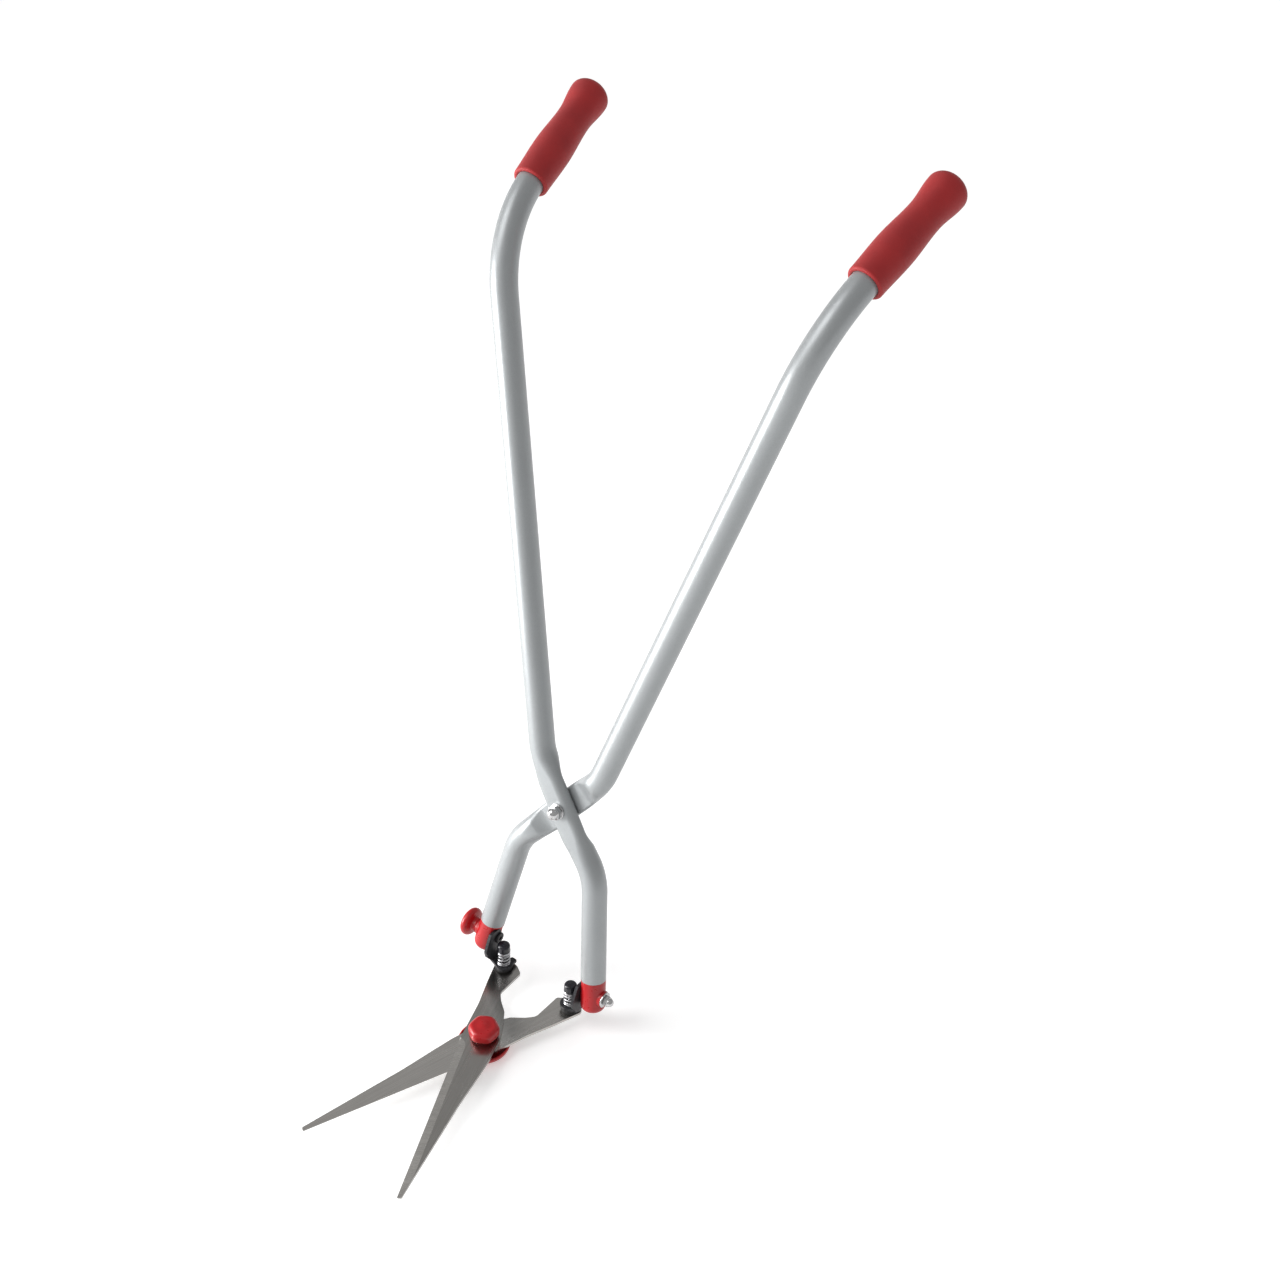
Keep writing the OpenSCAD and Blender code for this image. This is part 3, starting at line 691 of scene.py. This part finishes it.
def grip(name, side):
    """Sleeve with a rounded lip and a domed end, closed just past the end of its tube."""
    lip = 2.2
    sleeve = TUBE_R + BORE_FIT
    stop = TUBE_STOP - GRIP_START + 0.3
    dome_t = 1 - GRIP_DOME / GRIP_LEN
    bulb = grip_r(dome_t)
    profile = [(0, stop), (sleeve, stop), (sleeve, 0.8), (sleeve + 0.8, 0)]
    profile += arc(grip_r(0) - lip, lip, lip, lip, -90, 0, 12)
    for i in range(1, 61):
        t = lip / GRIP_LEN + (dome_t - lip / GRIP_LEN) * i / 60
        profile.append((grip_r(t), t * GRIP_LEN))
    profile += arc(0, GRIP_LEN - GRIP_DOME, bulb, GRIP_DOME, 0, 90, 20)[1:]
    return turned(name, lambda angle: profile, grip_frame(side), sharp=60)


stand_for(grip("front_grip_sleeve", RIGHT), "front_grip")
stand_for(grip("rear_grip_sleeve", LEFT), "rear_grip")

# ---------------------------------------------------------------------------
# End caps
# ---------------------------------------------------------------------------
PLATE_T = 3
PLATE_X = high("right_bracket").x - PLATE_T
BOSS_R = 8.2
BOSS_X = low("right_cross_washer").x
BOSS_LIFT = 0.02  # above the spot face, because the bore's boolean fails on faces in one plane
SPOT_R = 9


def soft_min(a, b, k):
    """The smaller of a and b, rounded over where they are within k."""
    h = max(k - abs(a - b), 0) / k
    return min(a, b) - h * h * k / 4


def end_cap(name, side):
    """Cap in the end of a tube, built for the right-hand side and mirrored for the left."""
    at = cap_frame(RIGHT)
    flat_x = PLATE_X + PLATE_T + 0.1
    rim = 1.5
    plug_r, plug_len = TUBE_R - TUBE_WALL - 0.15, 26
    end_r = 7
    shoulder = CAP_LEN - end_r
    heights = [rim + 0.02 + (shoulder - rim) * i / 24 for i in range(25)]
    outer = [(TUBE_R, h) for h in heights]
    outer += arc(TUBE_R - end_r, shoulder, end_r, end_r, 0, 90, 12)[1:]
    outer += crown(TUBE_R - end_r, CAP_LEN, 1.2, 4)
    head = [(0, -plug_len), (plug_r - 1, -plug_len), (plug_r, 1 - plug_len), (plug_r, 0),
            (TUBE_R - 0.3, 0), (TUBE_R, 0.3), (TUBE_R, rim)]

    def column(angle):
        out = at.to_3x3() @ Vector((cos(angle), sin(angle), 0))
        points = list(head)
        for r, z in outer:
            axis = at @ Vector((0, 0, z))
            room = (axis.x - flat_x) / max(-out.x, 1e-6) if out.x < 0 else 99
            points.append((soft_min(r, max(room, 0.05), 0.7) if r > 0.1 else 0, z))
        return points

    piece = turned(name, column, at, sides=144, sharp=40)
    face = cross_frame(RIGHT, BOSS_X)
    combine(piece, cylinder("spot", SPOT_R, 0, 20, face), "DIFFERENCE")
    boss = lathe("boss", [(0, -8, 0), (BOSS_R, -8, 0), (BOSS_R, BOSS_LIFT, 0.5), (0, BOSS_LIFT, 0)], face)
    combine(piece, boss, "UNION")
    combine(piece, cylinder("hole", M6_BORE, -40, 9, face, sides=48), "DIFFERENCE")
    if side == LEFT:
        piece.data.transform(Matrix.Scale(-1, 4, (1, 0, 0)))
        piece.data.flip_normals()
    shade(piece, 32)
    return piece


stand_for(end_cap("right_cap", RIGHT), "right_end_cap")
stand_for(end_cap("left_cap", LEFT), "left_end_cap")


# ---------------------------------------------------------------------------
# Fasteners
# ---------------------------------------------------------------------------
def washer(name, r_out, r_in, h, at, edge=0.3):
    corners = [(r_in, 0, edge), (r_out, 0, edge), (r_out, h, edge), (r_in, h, edge)]
    return lathe(name, corners, at, closed=True, steps=3)


def nut(name, af, h, bore, at):
    """Plain hexagonal nut, chamfered at both ends, standing on z = 0."""
    def column(angle):
        c = chamfer(af, angle)
        side = hex_r(af, angle)
        return [(bore, 0.4), (bore + 0.4, 0), (0.47 * af, 0), (side, c), (side, h - c), (0.47 * af, h),
                (bore + 0.4, h), (bore, h - 0.4)]
    return turned(name, column, at, closed=True, sharp=25)


def acorn_nut(name, af, h, bore, at):
    """Domed nut standing on z = 0."""
    base = h * 0.5
    dome = arc(0, base, 0.46 * af, h - base, 0, 90, 18)

    def column(angle):
        c = chamfer(af, angle)
        side = hex_r(af, angle)
        return [(0, 0.7 * h), (bore, 0.7 * h - 1), (bore, 0.4), (bore + 0.4, 0), (0.47 * af, 0), (side, c),
                (side, base - c), (0.47 * af, base), *dome]
    return turned(name, column, at, sharp=25)


def hex_bolt(name, af, head_h, shank_r, length, at):
    """Bolt with its head above z = 0 and its shank below."""
    def column(angle):
        c = chamfer(af, angle)
        return [(0, -length), (shank_r - 0.6, -length), (shank_r, 0.6 - length), (shank_r, 0), (0.47 * af, 0),
                (hex_r(af, angle), 0.15), (hex_r(af, angle), head_h - c), (0.46 * af, head_h), (0, head_h)]
    return turned(name, column, at, sharp=25)


def pan_screw(name, head_r, head_h, shank_r, length, at, socket_af=4):
    """Low round head with a hexagonal socket below z = 0, and the shank above it."""
    edge = 1.2
    rise = arc(head_r - edge, edge - head_h, edge, edge, -90, 0, 6)

    def column(angle):
        socket = hex_r(socket_af, angle)
        return [(0, 1 - head_h), (socket, 1 - head_h), (socket + 0.15, -head_h), *rise,
                (head_r, -0.2), (head_r - 0.2, 0), (shank_r, 0), (shank_r, length - 0.6),
                (shank_r - 0.6, length), (0, length)]
    return turned(name, column, at, sharp=30)


PIVOT_FACE = TUBE_R
WASHER_T = 1.5
PIVOT_OUT = PIVOT_FACE + WASHER_T

stand_for(hex_bolt("pivot_bolt", M8_HEX, 5.3, M8_R, 2 * PIVOT_OUT + 6,
                   HANDLE @ along((0, 0, -PIVOT_OUT), (0, 0, -1), (1, 0, 0))), "handle_pivot_bolt")
stand_for(washer("pivot_front_washer", 8, M8_BORE, WASHER_T, HANDLE @ lifted(0, 0, PIVOT_FACE)),
          "handle_pivot_washer")
stand_for(washer("pivot_rear_washer", 8, M8_BORE, WASHER_T, HANDLE @ lifted(0, 0, -PIVOT_OUT)),
          "handle_pivot_rear_washer")
stand_for(washer("pivot_spacer", 10.5, M8_BORE, FLAT_GAP, HANDLE @ lifted(0, 0, -FLAT_GAP / 2)),
          "handle_pivot_spacer")
stand_for(acorn_nut("pivot_dome_nut", M8_HEX, 11, M8_R, HANDLE @ lifted(0, 0, PIVOT_OUT)),
          "handle_pivot_acorn_nut")

CROSS_HEAD_T = 2


def cross_bolt(name, node, side):
    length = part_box(node)[1].x if side > 0 else -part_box(node)[0].x
    start = PLATE_X - GAP
    return pan_screw(name, 6, CROSS_HEAD_T, M6_R, length / MM - start, cross_frame(side, start))


stand_for(cross_bolt("right_cap_bolt", "right_cross_bolt", RIGHT), "right_cross_bolt")
stand_for(cross_bolt("left_cap_bolt", "left_cross_bolt", LEFT), "left_cross_bolt")
stand_for(washer("right_cap_washer", 8, M6_BORE, WASHER_T, cross_frame(RIGHT, BOSS_X)),
          "right_cross_washer")
stand_for(acorn_nut("right_dome_nut", M6_HEX, 9.5, M6_R, cross_frame(RIGHT, BOSS_X + WASHER_T)),
          "right_acorn_nut")

# ---------------------------------------------------------------------------
# Knob that locks the angle of the head
# ---------------------------------------------------------------------------
LOCK_KNOB_X = BOSS_X + 0.2
LOCK_NUT_Z = 6.3
LOCK_NUT_H = 5


def lock_knob(name):
    """Round knob on a flared neck, hollow for its nut, with a shallow dish round the middle of its face."""
    neck_r, neck_h, head_h, head_r = 7, 5.6, 10, 15
    flare, fillet = 2.2, 1.2
    rim = head_h / 2 - 0.6
    middle_z = neck_h + head_h / 2
    face = middle_z + rim
    nut_top = LOCK_NUT_Z + LOCK_NUT_H
    outside = arc(BOSS_R, flare, BOSS_R - neck_r, flare, -90, -180, 10)
    outside += arc(neck_r + fillet, neck_h - fillet, fillet, fillet, 180, 90, 6)
    outside += arc(head_r - rim, middle_z, rim, rim, -80, 90, 34)
    dish = [(head_r - rim - 1.2, face), (head_r - rim - 2.4, face - 0.5), (4, face - 0.9),
            (2, face - 0.2), (0, face)]

    def column(angle):
        pocket = hex_r(M6_HEX, angle) + BORE_FIT
        inside = [(0, 12), (M6_BORE, 12), (M6_BORE, nut_top), (pocket, nut_top), (pocket, LOCK_NUT_Z),
                  (M6_BORE, LOCK_NUT_Z), (M6_BORE, 0)]
        return inside + outside + dish
    return turned(name, column, cross_frame(LEFT, LOCK_KNOB_X), sharp=40)


stand_for(lock_knob("lock_knob_head"), "angle_lock_knob")
stand_for(nut("lock_knob_insert", M6_HEX, LOCK_NUT_H, M6_BORE, cross_frame(LEFT, LOCK_KNOB_X + LOCK_NUT_Z)),
          "lock_knob_nut")

# ---------------------------------------------------------------------------
# Brackets
# ---------------------------------------------------------------------------
FOOT_Z = low("right_bracket").z
PIN_X = middle("right_pin_cap").x
PIN_Y = middle("right_pin_cap").y
BEND_X = PLATE_X - BEND_INNER_R
BEND_Z = FOOT_Z + PLATE_T + BEND_INNER_R
BEND_LEN = pi / 2 * (BEND_INNER_R + PLATE_T / 2)


def bracket(name, side, hole_r):
    """Sheet bent up from its foot. Its outline is flat: along the sheet, then back from the blade pivot."""
    def up(h):
        return BEND_LEN + h - PLATE_T - BEND_INNER_R

    def inwards(x):
        return x - BEND_X

    corners = [
        (inwards(33.5), 72, 8), (inwards(PIN_X), 72, 4), (BEND_LEN / 2, 77, 4),
        (up(13.3), 68.5, 4), (up(21), 67, 3), (up(28), 69.6, 6), (up(39.6), 74.7, 3), (up(39.6), 90.5, 6),
        (BEND_LEN / 2, 91, 0), (inwards(42), 91, 0.5), (inwards(41), 93, 1), (inwards(35), 93, 1.2),
        (inwards(35), 86, 0.5), (inwards(33.5), 84, 1)]
    bends = [[(BEND_LEN * i / 10, 60), (BEND_LEN * i / 10, 100)] for i in range(11)]
    holes = [circle(inwards(PIN_X), PIN_Y, hole_r), circle(up(TILT.z - FOOT_Z), TILT.y, M6_BORE)]

    def lift(s, y, share):
        n = PLATE_T * share
        if s <= 0:
            x, z = BEND_X + s, FOOT_Z + n
        elif s >= BEND_LEN:
            x, z = PLATE_X + PLATE_T - n, BEND_Z + s - BEND_LEN
        else:
            a = pi / 2 * s / BEND_LEN
            r = BEND_INNER_R + PLATE_T - n
            x, z = BEND_X + r * sin(a), BEND_Z - r * cos(a)
        return side * x, y, z

    return slab(name, rounded(corners, True, 8), holes, bends, lift, edge=0.5, segments=3)


stand_for(bracket("right_angle_bracket", RIGHT, 3.6), "right_bracket")
stand_for(bracket("left_angle_bracket", LEFT, 5.75), "left_bracket")

# ---------------------------------------------------------------------------
# Blades
# ---------------------------------------------------------------------------
BLADE_T = 3
PIN_REACH = hypot(PIN_X, PIN_Y)
PIN_ANGLE = atan2(PIN_X, PIN_Y) - radians(BLADE_TURN)
# Outline as corners (x, y, radius), from the heel round the tip and the back to the tang
BLADE = [
    (*HEEL, 5), (*TIP, 1), (TIP[0] + 4.4, TIP[1] + 1, 1.6), (4.2, -178, 60), (10.2, -85, 200),
    (14, -50, 90), (16.4, -26, 24), (16.5, 0, 30), (12.2, 19, 50), (7.4, 35, 12), (-1.2, 47, 10),
    (-6, 57, 9), (3.3, 88.3, 3.5), (-3.2, 96, 4), (-11, 101, 6), (-26.6, 101, 6), (-24, 65, 80),
    (-21, 36, 60)]


def blade(name, at, steel, bevel_steel):
    """One blade in its own frame, tip towards -Y, cutting edge towards -X, ground bevel on top."""
    edge = Vector((TIP[0] - HEEL[0], TIP[1] - HEEL[1])).normalized()
    across = Vector((-edge.y, edge.x))
    slope = (BLADE_T - EDGE_LAND) / BEVEL_W

    def ground(x, y):
        """Height of the ground bevel, which lifts out of the steel in a curve near the heel."""
        away = Vector((x - HEEL[0], y - HEEL[1]))
        short = max(0, RUN_OUT - away.dot(edge)) / RUN_OUT
        return EDGE_LAND + slope * max(0, away.dot(across)) + (BLADE_T - EDGE_LAND) * short ** 3

    def lift(x, y, share):
        return x, y, min(BLADE_T, ground(x, y)) * share

    corner_steps = 10
    outline = rounded(BLADE, True, corner_steps)
    run_out = [Vector(HEEL) + edge * d for d in range(6, 40)]
    outline = outline[:corner_steps + 1] + run_out + outline[corner_steps + 1:]
    crest = []
    for i in range(220):
        d = 0.5 + i
        short = max(0, RUN_OUT - d) / RUN_OUT
        crest.append(Vector(HEEL) + edge * d + across * (BEVEL_W * (1 - short ** 3)))
    pin = (-PIN_REACH * sin(PIN_ANGLE), PIN_REACH * cos(PIN_ANGLE))
    holes = [circle(0, 0, M8_BORE), circle(*pin, M6_BORE)]
    piece = slab(name, outline, holes, [crest], lift, at, edge=0.18)
    piece.data.materials.append(steel)
    piece.data.materials.append(bevel_steel)
    up = (at.to_3x3() @ Vector((0, 0, 1))).normalized()
    for polygon in piece.data.polygons:
        lean = polygon.normal.dot(up)
        polygon.material_index = 1 if 0.8 < lean < 0.985 else 0
    shade(piece, 12)
    return piece


UPPER_AT = lifted(0, 0, low("upper_blade").z) @ Matrix.Rotation(radians(BLADE_TURN), 4, "Z")
LOWER_AT = (lifted(0, 0, high("lower_blade").z) @ Matrix.Rotation(pi, 4, "Y")
            @ Matrix.Rotation(radians(BLADE_TURN), 4, "Z"))
stand_for(blade("upper_cutting_blade", UPPER_AT, MATERIALS["blade_steel"], UPPER_BEVEL), "upper_blade")
stand_for(blade("lower_cutting_blade", LOWER_AT, LOWER_STEEL, LOWER_BEVEL), "lower_blade")

# ---------------------------------------------------------------------------
# Blade pivot
# ---------------------------------------------------------------------------
KNOB_AF = 29
KNOB_Z = low("blade_pivot_knob").z
KNOB_H = high("blade_pivot_knob").z - KNOB_Z
NECK_H = 1.6
BOLT_HEAD_Z = NECK_H + 1
BOLT_HEAD_H = 5.3


def pivot_knob(name):
    """Rounded hexagonal knob, hollow for the bolt's head."""
    edge, belly_h, top_rise = 4.8, 2.6, 0.9
    edge_share = edge / (KNOB_AF / 2)
    belly_share = 0.18
    top_z = KNOB_H - top_rise
    neck_r = 9.5
    head_top = BOLT_HEAD_Z + BOLT_HEAD_H

    def column(angle):
        side = soft_hex_r(KNOB_AF, angle)
        pocket = hex_r(M8_HEX, angle) + BORE_FIT
        inside = [(0, head_top), (pocket, head_top), (pocket, BOLT_HEAD_Z), (M8_BORE, BOLT_HEAD_Z),
                  (M8_BORE, 0), (neck_r, 0), (neck_r, NECK_H - 0.3), (neck_r + 0.3, NECK_H)]
        belly = arc(side * (1 - belly_share), NECK_H + belly_h, side * belly_share, belly_h, -90, 0, 6)
        shoulder = arc(side * (1 - edge_share), top_z - edge, side * edge_share, edge, 0, 90, 12)
        return inside + belly + shoulder + crown(side * (1 - edge_share), top_z, top_rise, 8)
    return turned(name, column, lifted(0, 0, KNOB_Z), sides=144, sharp=50)


def wave_washer(name, r_out, r_in, h, at):
    """Spring washer with three waves, h high over all."""
    t = 0.5

    def column(angle):
        z = (h - t) / 2 * (1 + sin(3 * angle))
        return [(r_in, z), (r_out, z), (r_out, z + t), (r_in, z + t)]
    return turned(name, column, at, closed=True)


BOLT_TOP = KNOB_Z + BOLT_HEAD_Z
stand_for(pivot_knob("pivot_knob_cap"), "blade_pivot_knob")
stand_for(hex_bolt("blade_bolt", M8_HEX, BOLT_HEAD_H, M8_R, BOLT_TOP - low("blade_pivot_bolt").z,
                   lifted(0, 0, BOLT_TOP)), "blade_pivot_bolt")
stand_for(wave_washer("wave_washer", 8.5, M8_BORE, 1.4 - 2 * GAP,
                      lifted(0, 0, low("blade_spring_washer").z + GAP)), "blade_spring_washer")

GLIDE_R = high("glide_disc").x
GLIDE_TOP = high("glide_disc").z
GLIDE_NUT_Z = low("glide_nut").z


def glide_disc(name):
    """Saucer with a flat foot, a rolled lip, and a hub that is hollow for its nut."""
    foot_r, hub_r, floor_t = 15, 10.5, 2.6
    rim_top = GLIDE_TOP - 0.9
    rise = rim_top - 1.4
    inner_top = rim_top - 0.6
    under = arc(foot_r, rise, GLIDE_R - foot_r, rise, -90, 0, 18)
    lip = [(GLIDE_R, rim_top - 0.7), (GLIDE_R - 0.25, rim_top - 0.2), (GLIDE_R - 0.7, rim_top),
           (GLIDE_R - 1.5, rim_top)]
    inner = arc(foot_r - 1, inner_top, GLIDE_R - foot_r - 1, inner_top - floor_t, -5, -90, 17)
    hub = [(hub_r + 1.2, floor_t), (hub_r + 0.3, floor_t + 0.4), (hub_r, floor_t + 1.2),
           (hub_r, GLIDE_TOP - 0.5), (hub_r - 0.5, GLIDE_TOP)]

    def column(angle):
        pocket = hex_r(M8_HEX, angle) + BORE_FIT
        return [(0, 0), (foot_r - 1, 0), *under, *lip, *inner, *hub, (pocket, GLIDE_TOP),
                (pocket, GLIDE_NUT_Z), (0, GLIDE_NUT_Z)]
    return turned(name, column, Matrix.Identity(4), sides=120, sharp=40)


stand_for(glide_disc("glide_saucer"), "glide_disc")
stand_for(nut("glide_insert", M8_HEX, 6.5, M8_BORE, lifted(0, 0, GLIDE_NUT_Z)), "glide_nut")

# ---------------------------------------------------------------------------
# Tang pins
# ---------------------------------------------------------------------------
PIN_HEAD_T = 2.6
WIRE_R = 0.9
SPRING_R = 6.75
SPRING_TURNS = 6


def pin_at(side, z):
    return lifted(side * PIN_X, PIN_Y, z)


def coil_spring(name, z_low, z_high, at):
    """Wire swept along a helix whose end turns close up and are ground flat."""
    steps, sides = SPRING_TURNS * 40, 14

    def centre(t):
        a = 2 * pi * SPRING_TURNS * t
        rise = t - 0.75 * sin(2 * pi * t) / (2 * pi)
        z = z_low + 0.7 * WIRE_R + (z_high - z_low - 1.4 * WIRE_R) * rise
        return Vector(((SPRING_R - WIRE_R) * cos(a), (SPRING_R - WIRE_R) * sin(a), z))

    points = []
    for i in range(steps + 1):
        p = centre(i / steps)
        out = Vector((p.x, p.y, 0)).normalized()
        up = out.cross((centre(i / steps + 1e-3) - centre(i / steps - 1e-3)).normalized())
        for j in range(sides):
            a = 2 * pi * j / sides
            q = p + (out * cos(a) + up * sin(a)) * WIRE_R
            q.z = max(z_low, min(z_high, q.z))
            points.append(q)
    faces = grid_faces(steps + 1, sides, False)
    faces += [tuple(range(sides))[::-1], tuple(steps * sides + j for j in range(sides))]
    return mesh_piece(name, points, faces, at, 50)


def pin_cap(name, at, h):
    """Cap over a pin's nut, with a low flange at its mouth and a rounded top."""
    r = SPRING_R
    wall_r = r - 0.25
    pocket_r, pocket_h = 5.15, 7
    edge, top_rise = 2.8, 0.6
    profile = [(0, pocket_h), (pocket_r, pocket_h), (pocket_r, 0), (r - 0.4, 0), (r, 0.4), (r, 1.3),
               (wall_r, 1.5), (wall_r, h - 3.6)]
    profile += arc(wall_r - edge, h - top_rise - edge, edge, edge, 0, 90, 15)
    profile += crown(wall_r - edge, h - top_rise, top_rise, 4)
    return turned(name, lambda angle: profile, at, sharp=45)


def pin_ring(name, at, h):
    """Rubber ring with a shallow groove round its middle."""
    r = 9
    corners = [(M6_BORE, 0, 0), (r, 0, 0.4), (r, h * 0.36, 0.3), (r - 0.5, h * 0.43, 0.2),
               (r - 0.5, h * 0.57, 0.2), (r, h * 0.64, 0.3), (r, h, 0.4), (M6_BORE, h, 0)]
    return lathe(name, corners, at, closed=True, steps=4)


def pin_stack(word, side):
    """Everything on one tang pin, from its head up to its cap. The spring and the ring are handed back."""
    tang = low(f"{word}_tang_pin").z + PIN_HEAD_T - GAP
    foot_top = FOOT_Z + PLATE_T
    spring_top = low(f"{word}_pin_cap").z
    cap_h = high(f"{word}_pin_cap").z - spring_top
    ring_z = low(f"{word}_pin_ring").z
    length = high(f"{word}_tang_pin").z - tang
    disc_t = 1
    stand_for(pan_screw(f"{word}_pin_screw", 5.5, PIN_HEAD_T, M6_R, length, pin_at(side, tang)),
              f"{word}_tang_pin")
    stand_for(washer(f"{word}_pin_disc", 5.05, M6_BORE, disc_t, pin_at(side, spring_top)),
              f"{word}_pin_washer")
    stand_for(nut(f"{word}_pin_hex", 8.7, 5, M6_BORE, pin_at(side, spring_top + disc_t)), f"{word}_pin_nut")
    stand_for(pin_cap(f"{word}_pin_dome", pin_at(side, spring_top), cap_h), f"{word}_pin_cap")
    spring = coil_spring(f"{word}_coil", foot_top + GAP, spring_top - GAP, pin_at(side, 0))
    ring = pin_ring(f"{word}_rubber_ring", pin_at(side, ring_z + GAP), FOOT_Z - ring_z - 2 * GAP)
    return spring, ring


right_spring, right_ring = pin_stack("right", RIGHT)
left_spring, left_ring = pin_stack("left", LEFT)
stand_for(left_spring, "left_pin_spring")
stand_for(left_ring, "left_pin_ring")
# The right pin rocks in its foot, so its spring and ring are put on no body and are baked where they stand.
# The left ones ride on their pin, because no joint runs between the left bracket and the left pin.
stand_for(right_spring, "right_pin_spring", ride=False)
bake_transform(right_spring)
stand_for(right_ring, "right_pin_ring", ride=False)
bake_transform(right_ring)


# ---------------------------------------------------------------------------
# Floor and light
# ---------------------------------------------------------------------------
def make_floor():
    """Pale floor that glows a little, so that the tool stands almost without a shadow."""
    mesh = bpy.data.meshes.new("floor")
    half = 25
    corners = [(-half, -half, 0), (half, -half, 0), (half, half, 0), (-half, half, 0)]
    mesh.from_pydata(corners, [], [(0, 1, 2, 3)])
    floor = new_object("floor", mesh)
    s = Shader("pale_floor", metallic=0, specular=0.2)
    s.bsdf.inputs["Emission Color"].default_value = (1, 1, 1, 1)
    s.bsdf.inputs["Emission Strength"].default_value = 0.36
    colour = s.mix(s.spread(s.noise(600), 0, 1), (0.86, 0.86, 0.86), (0.88, 0.88, 0.88))
    floor.data.materials.append(s.finish(colour, s.spread(s.noise(400), 0.8, 0.9)))


def make_lamp(name, kind, energy, direction, at=(0, 0, 0)):
    """Lamp at a place that shines against direction, which points from the tool to the lamp."""
    data = bpy.data.lights.new(name, kind)
    data.energy = energy
    lamp = bpy.data.objects.new(name, data)
    bpy.context.scene.collection.objects.link(lamp)
    lamp.location = at
    lamp.rotation_mode = "QUATERNION"
    lamp.rotation_quaternion = Vector(direction).to_track_quat("Z", "Y")
    return data


def make_lights():
    world = bpy.data.worlds.new("studio")
    bpy.context.scene.world = world
    world.use_nodes = True
    background = world.node_tree.nodes["Background"]
    background.inputs["Color"].default_value = (1, 1, 1, 1)
    background.inputs["Strength"].default_value = 0.46
    overhead = make_lamp("overhead", "SUN", 1.3, (-0.5, -0.5, 0.72))
    overhead.angle = radians(40)
    window = make_lamp("window", "AREA", 52, (-1.5, -1.05, 0.05), (-1.5, -1.05, 0.42))
    window.shape = "RECTANGLE"
    window.size = 0.9
    window.size_y = 0.8


make_floor()
make_lights()
bpy.context.scene.view_settings.view_transform = "Standard"
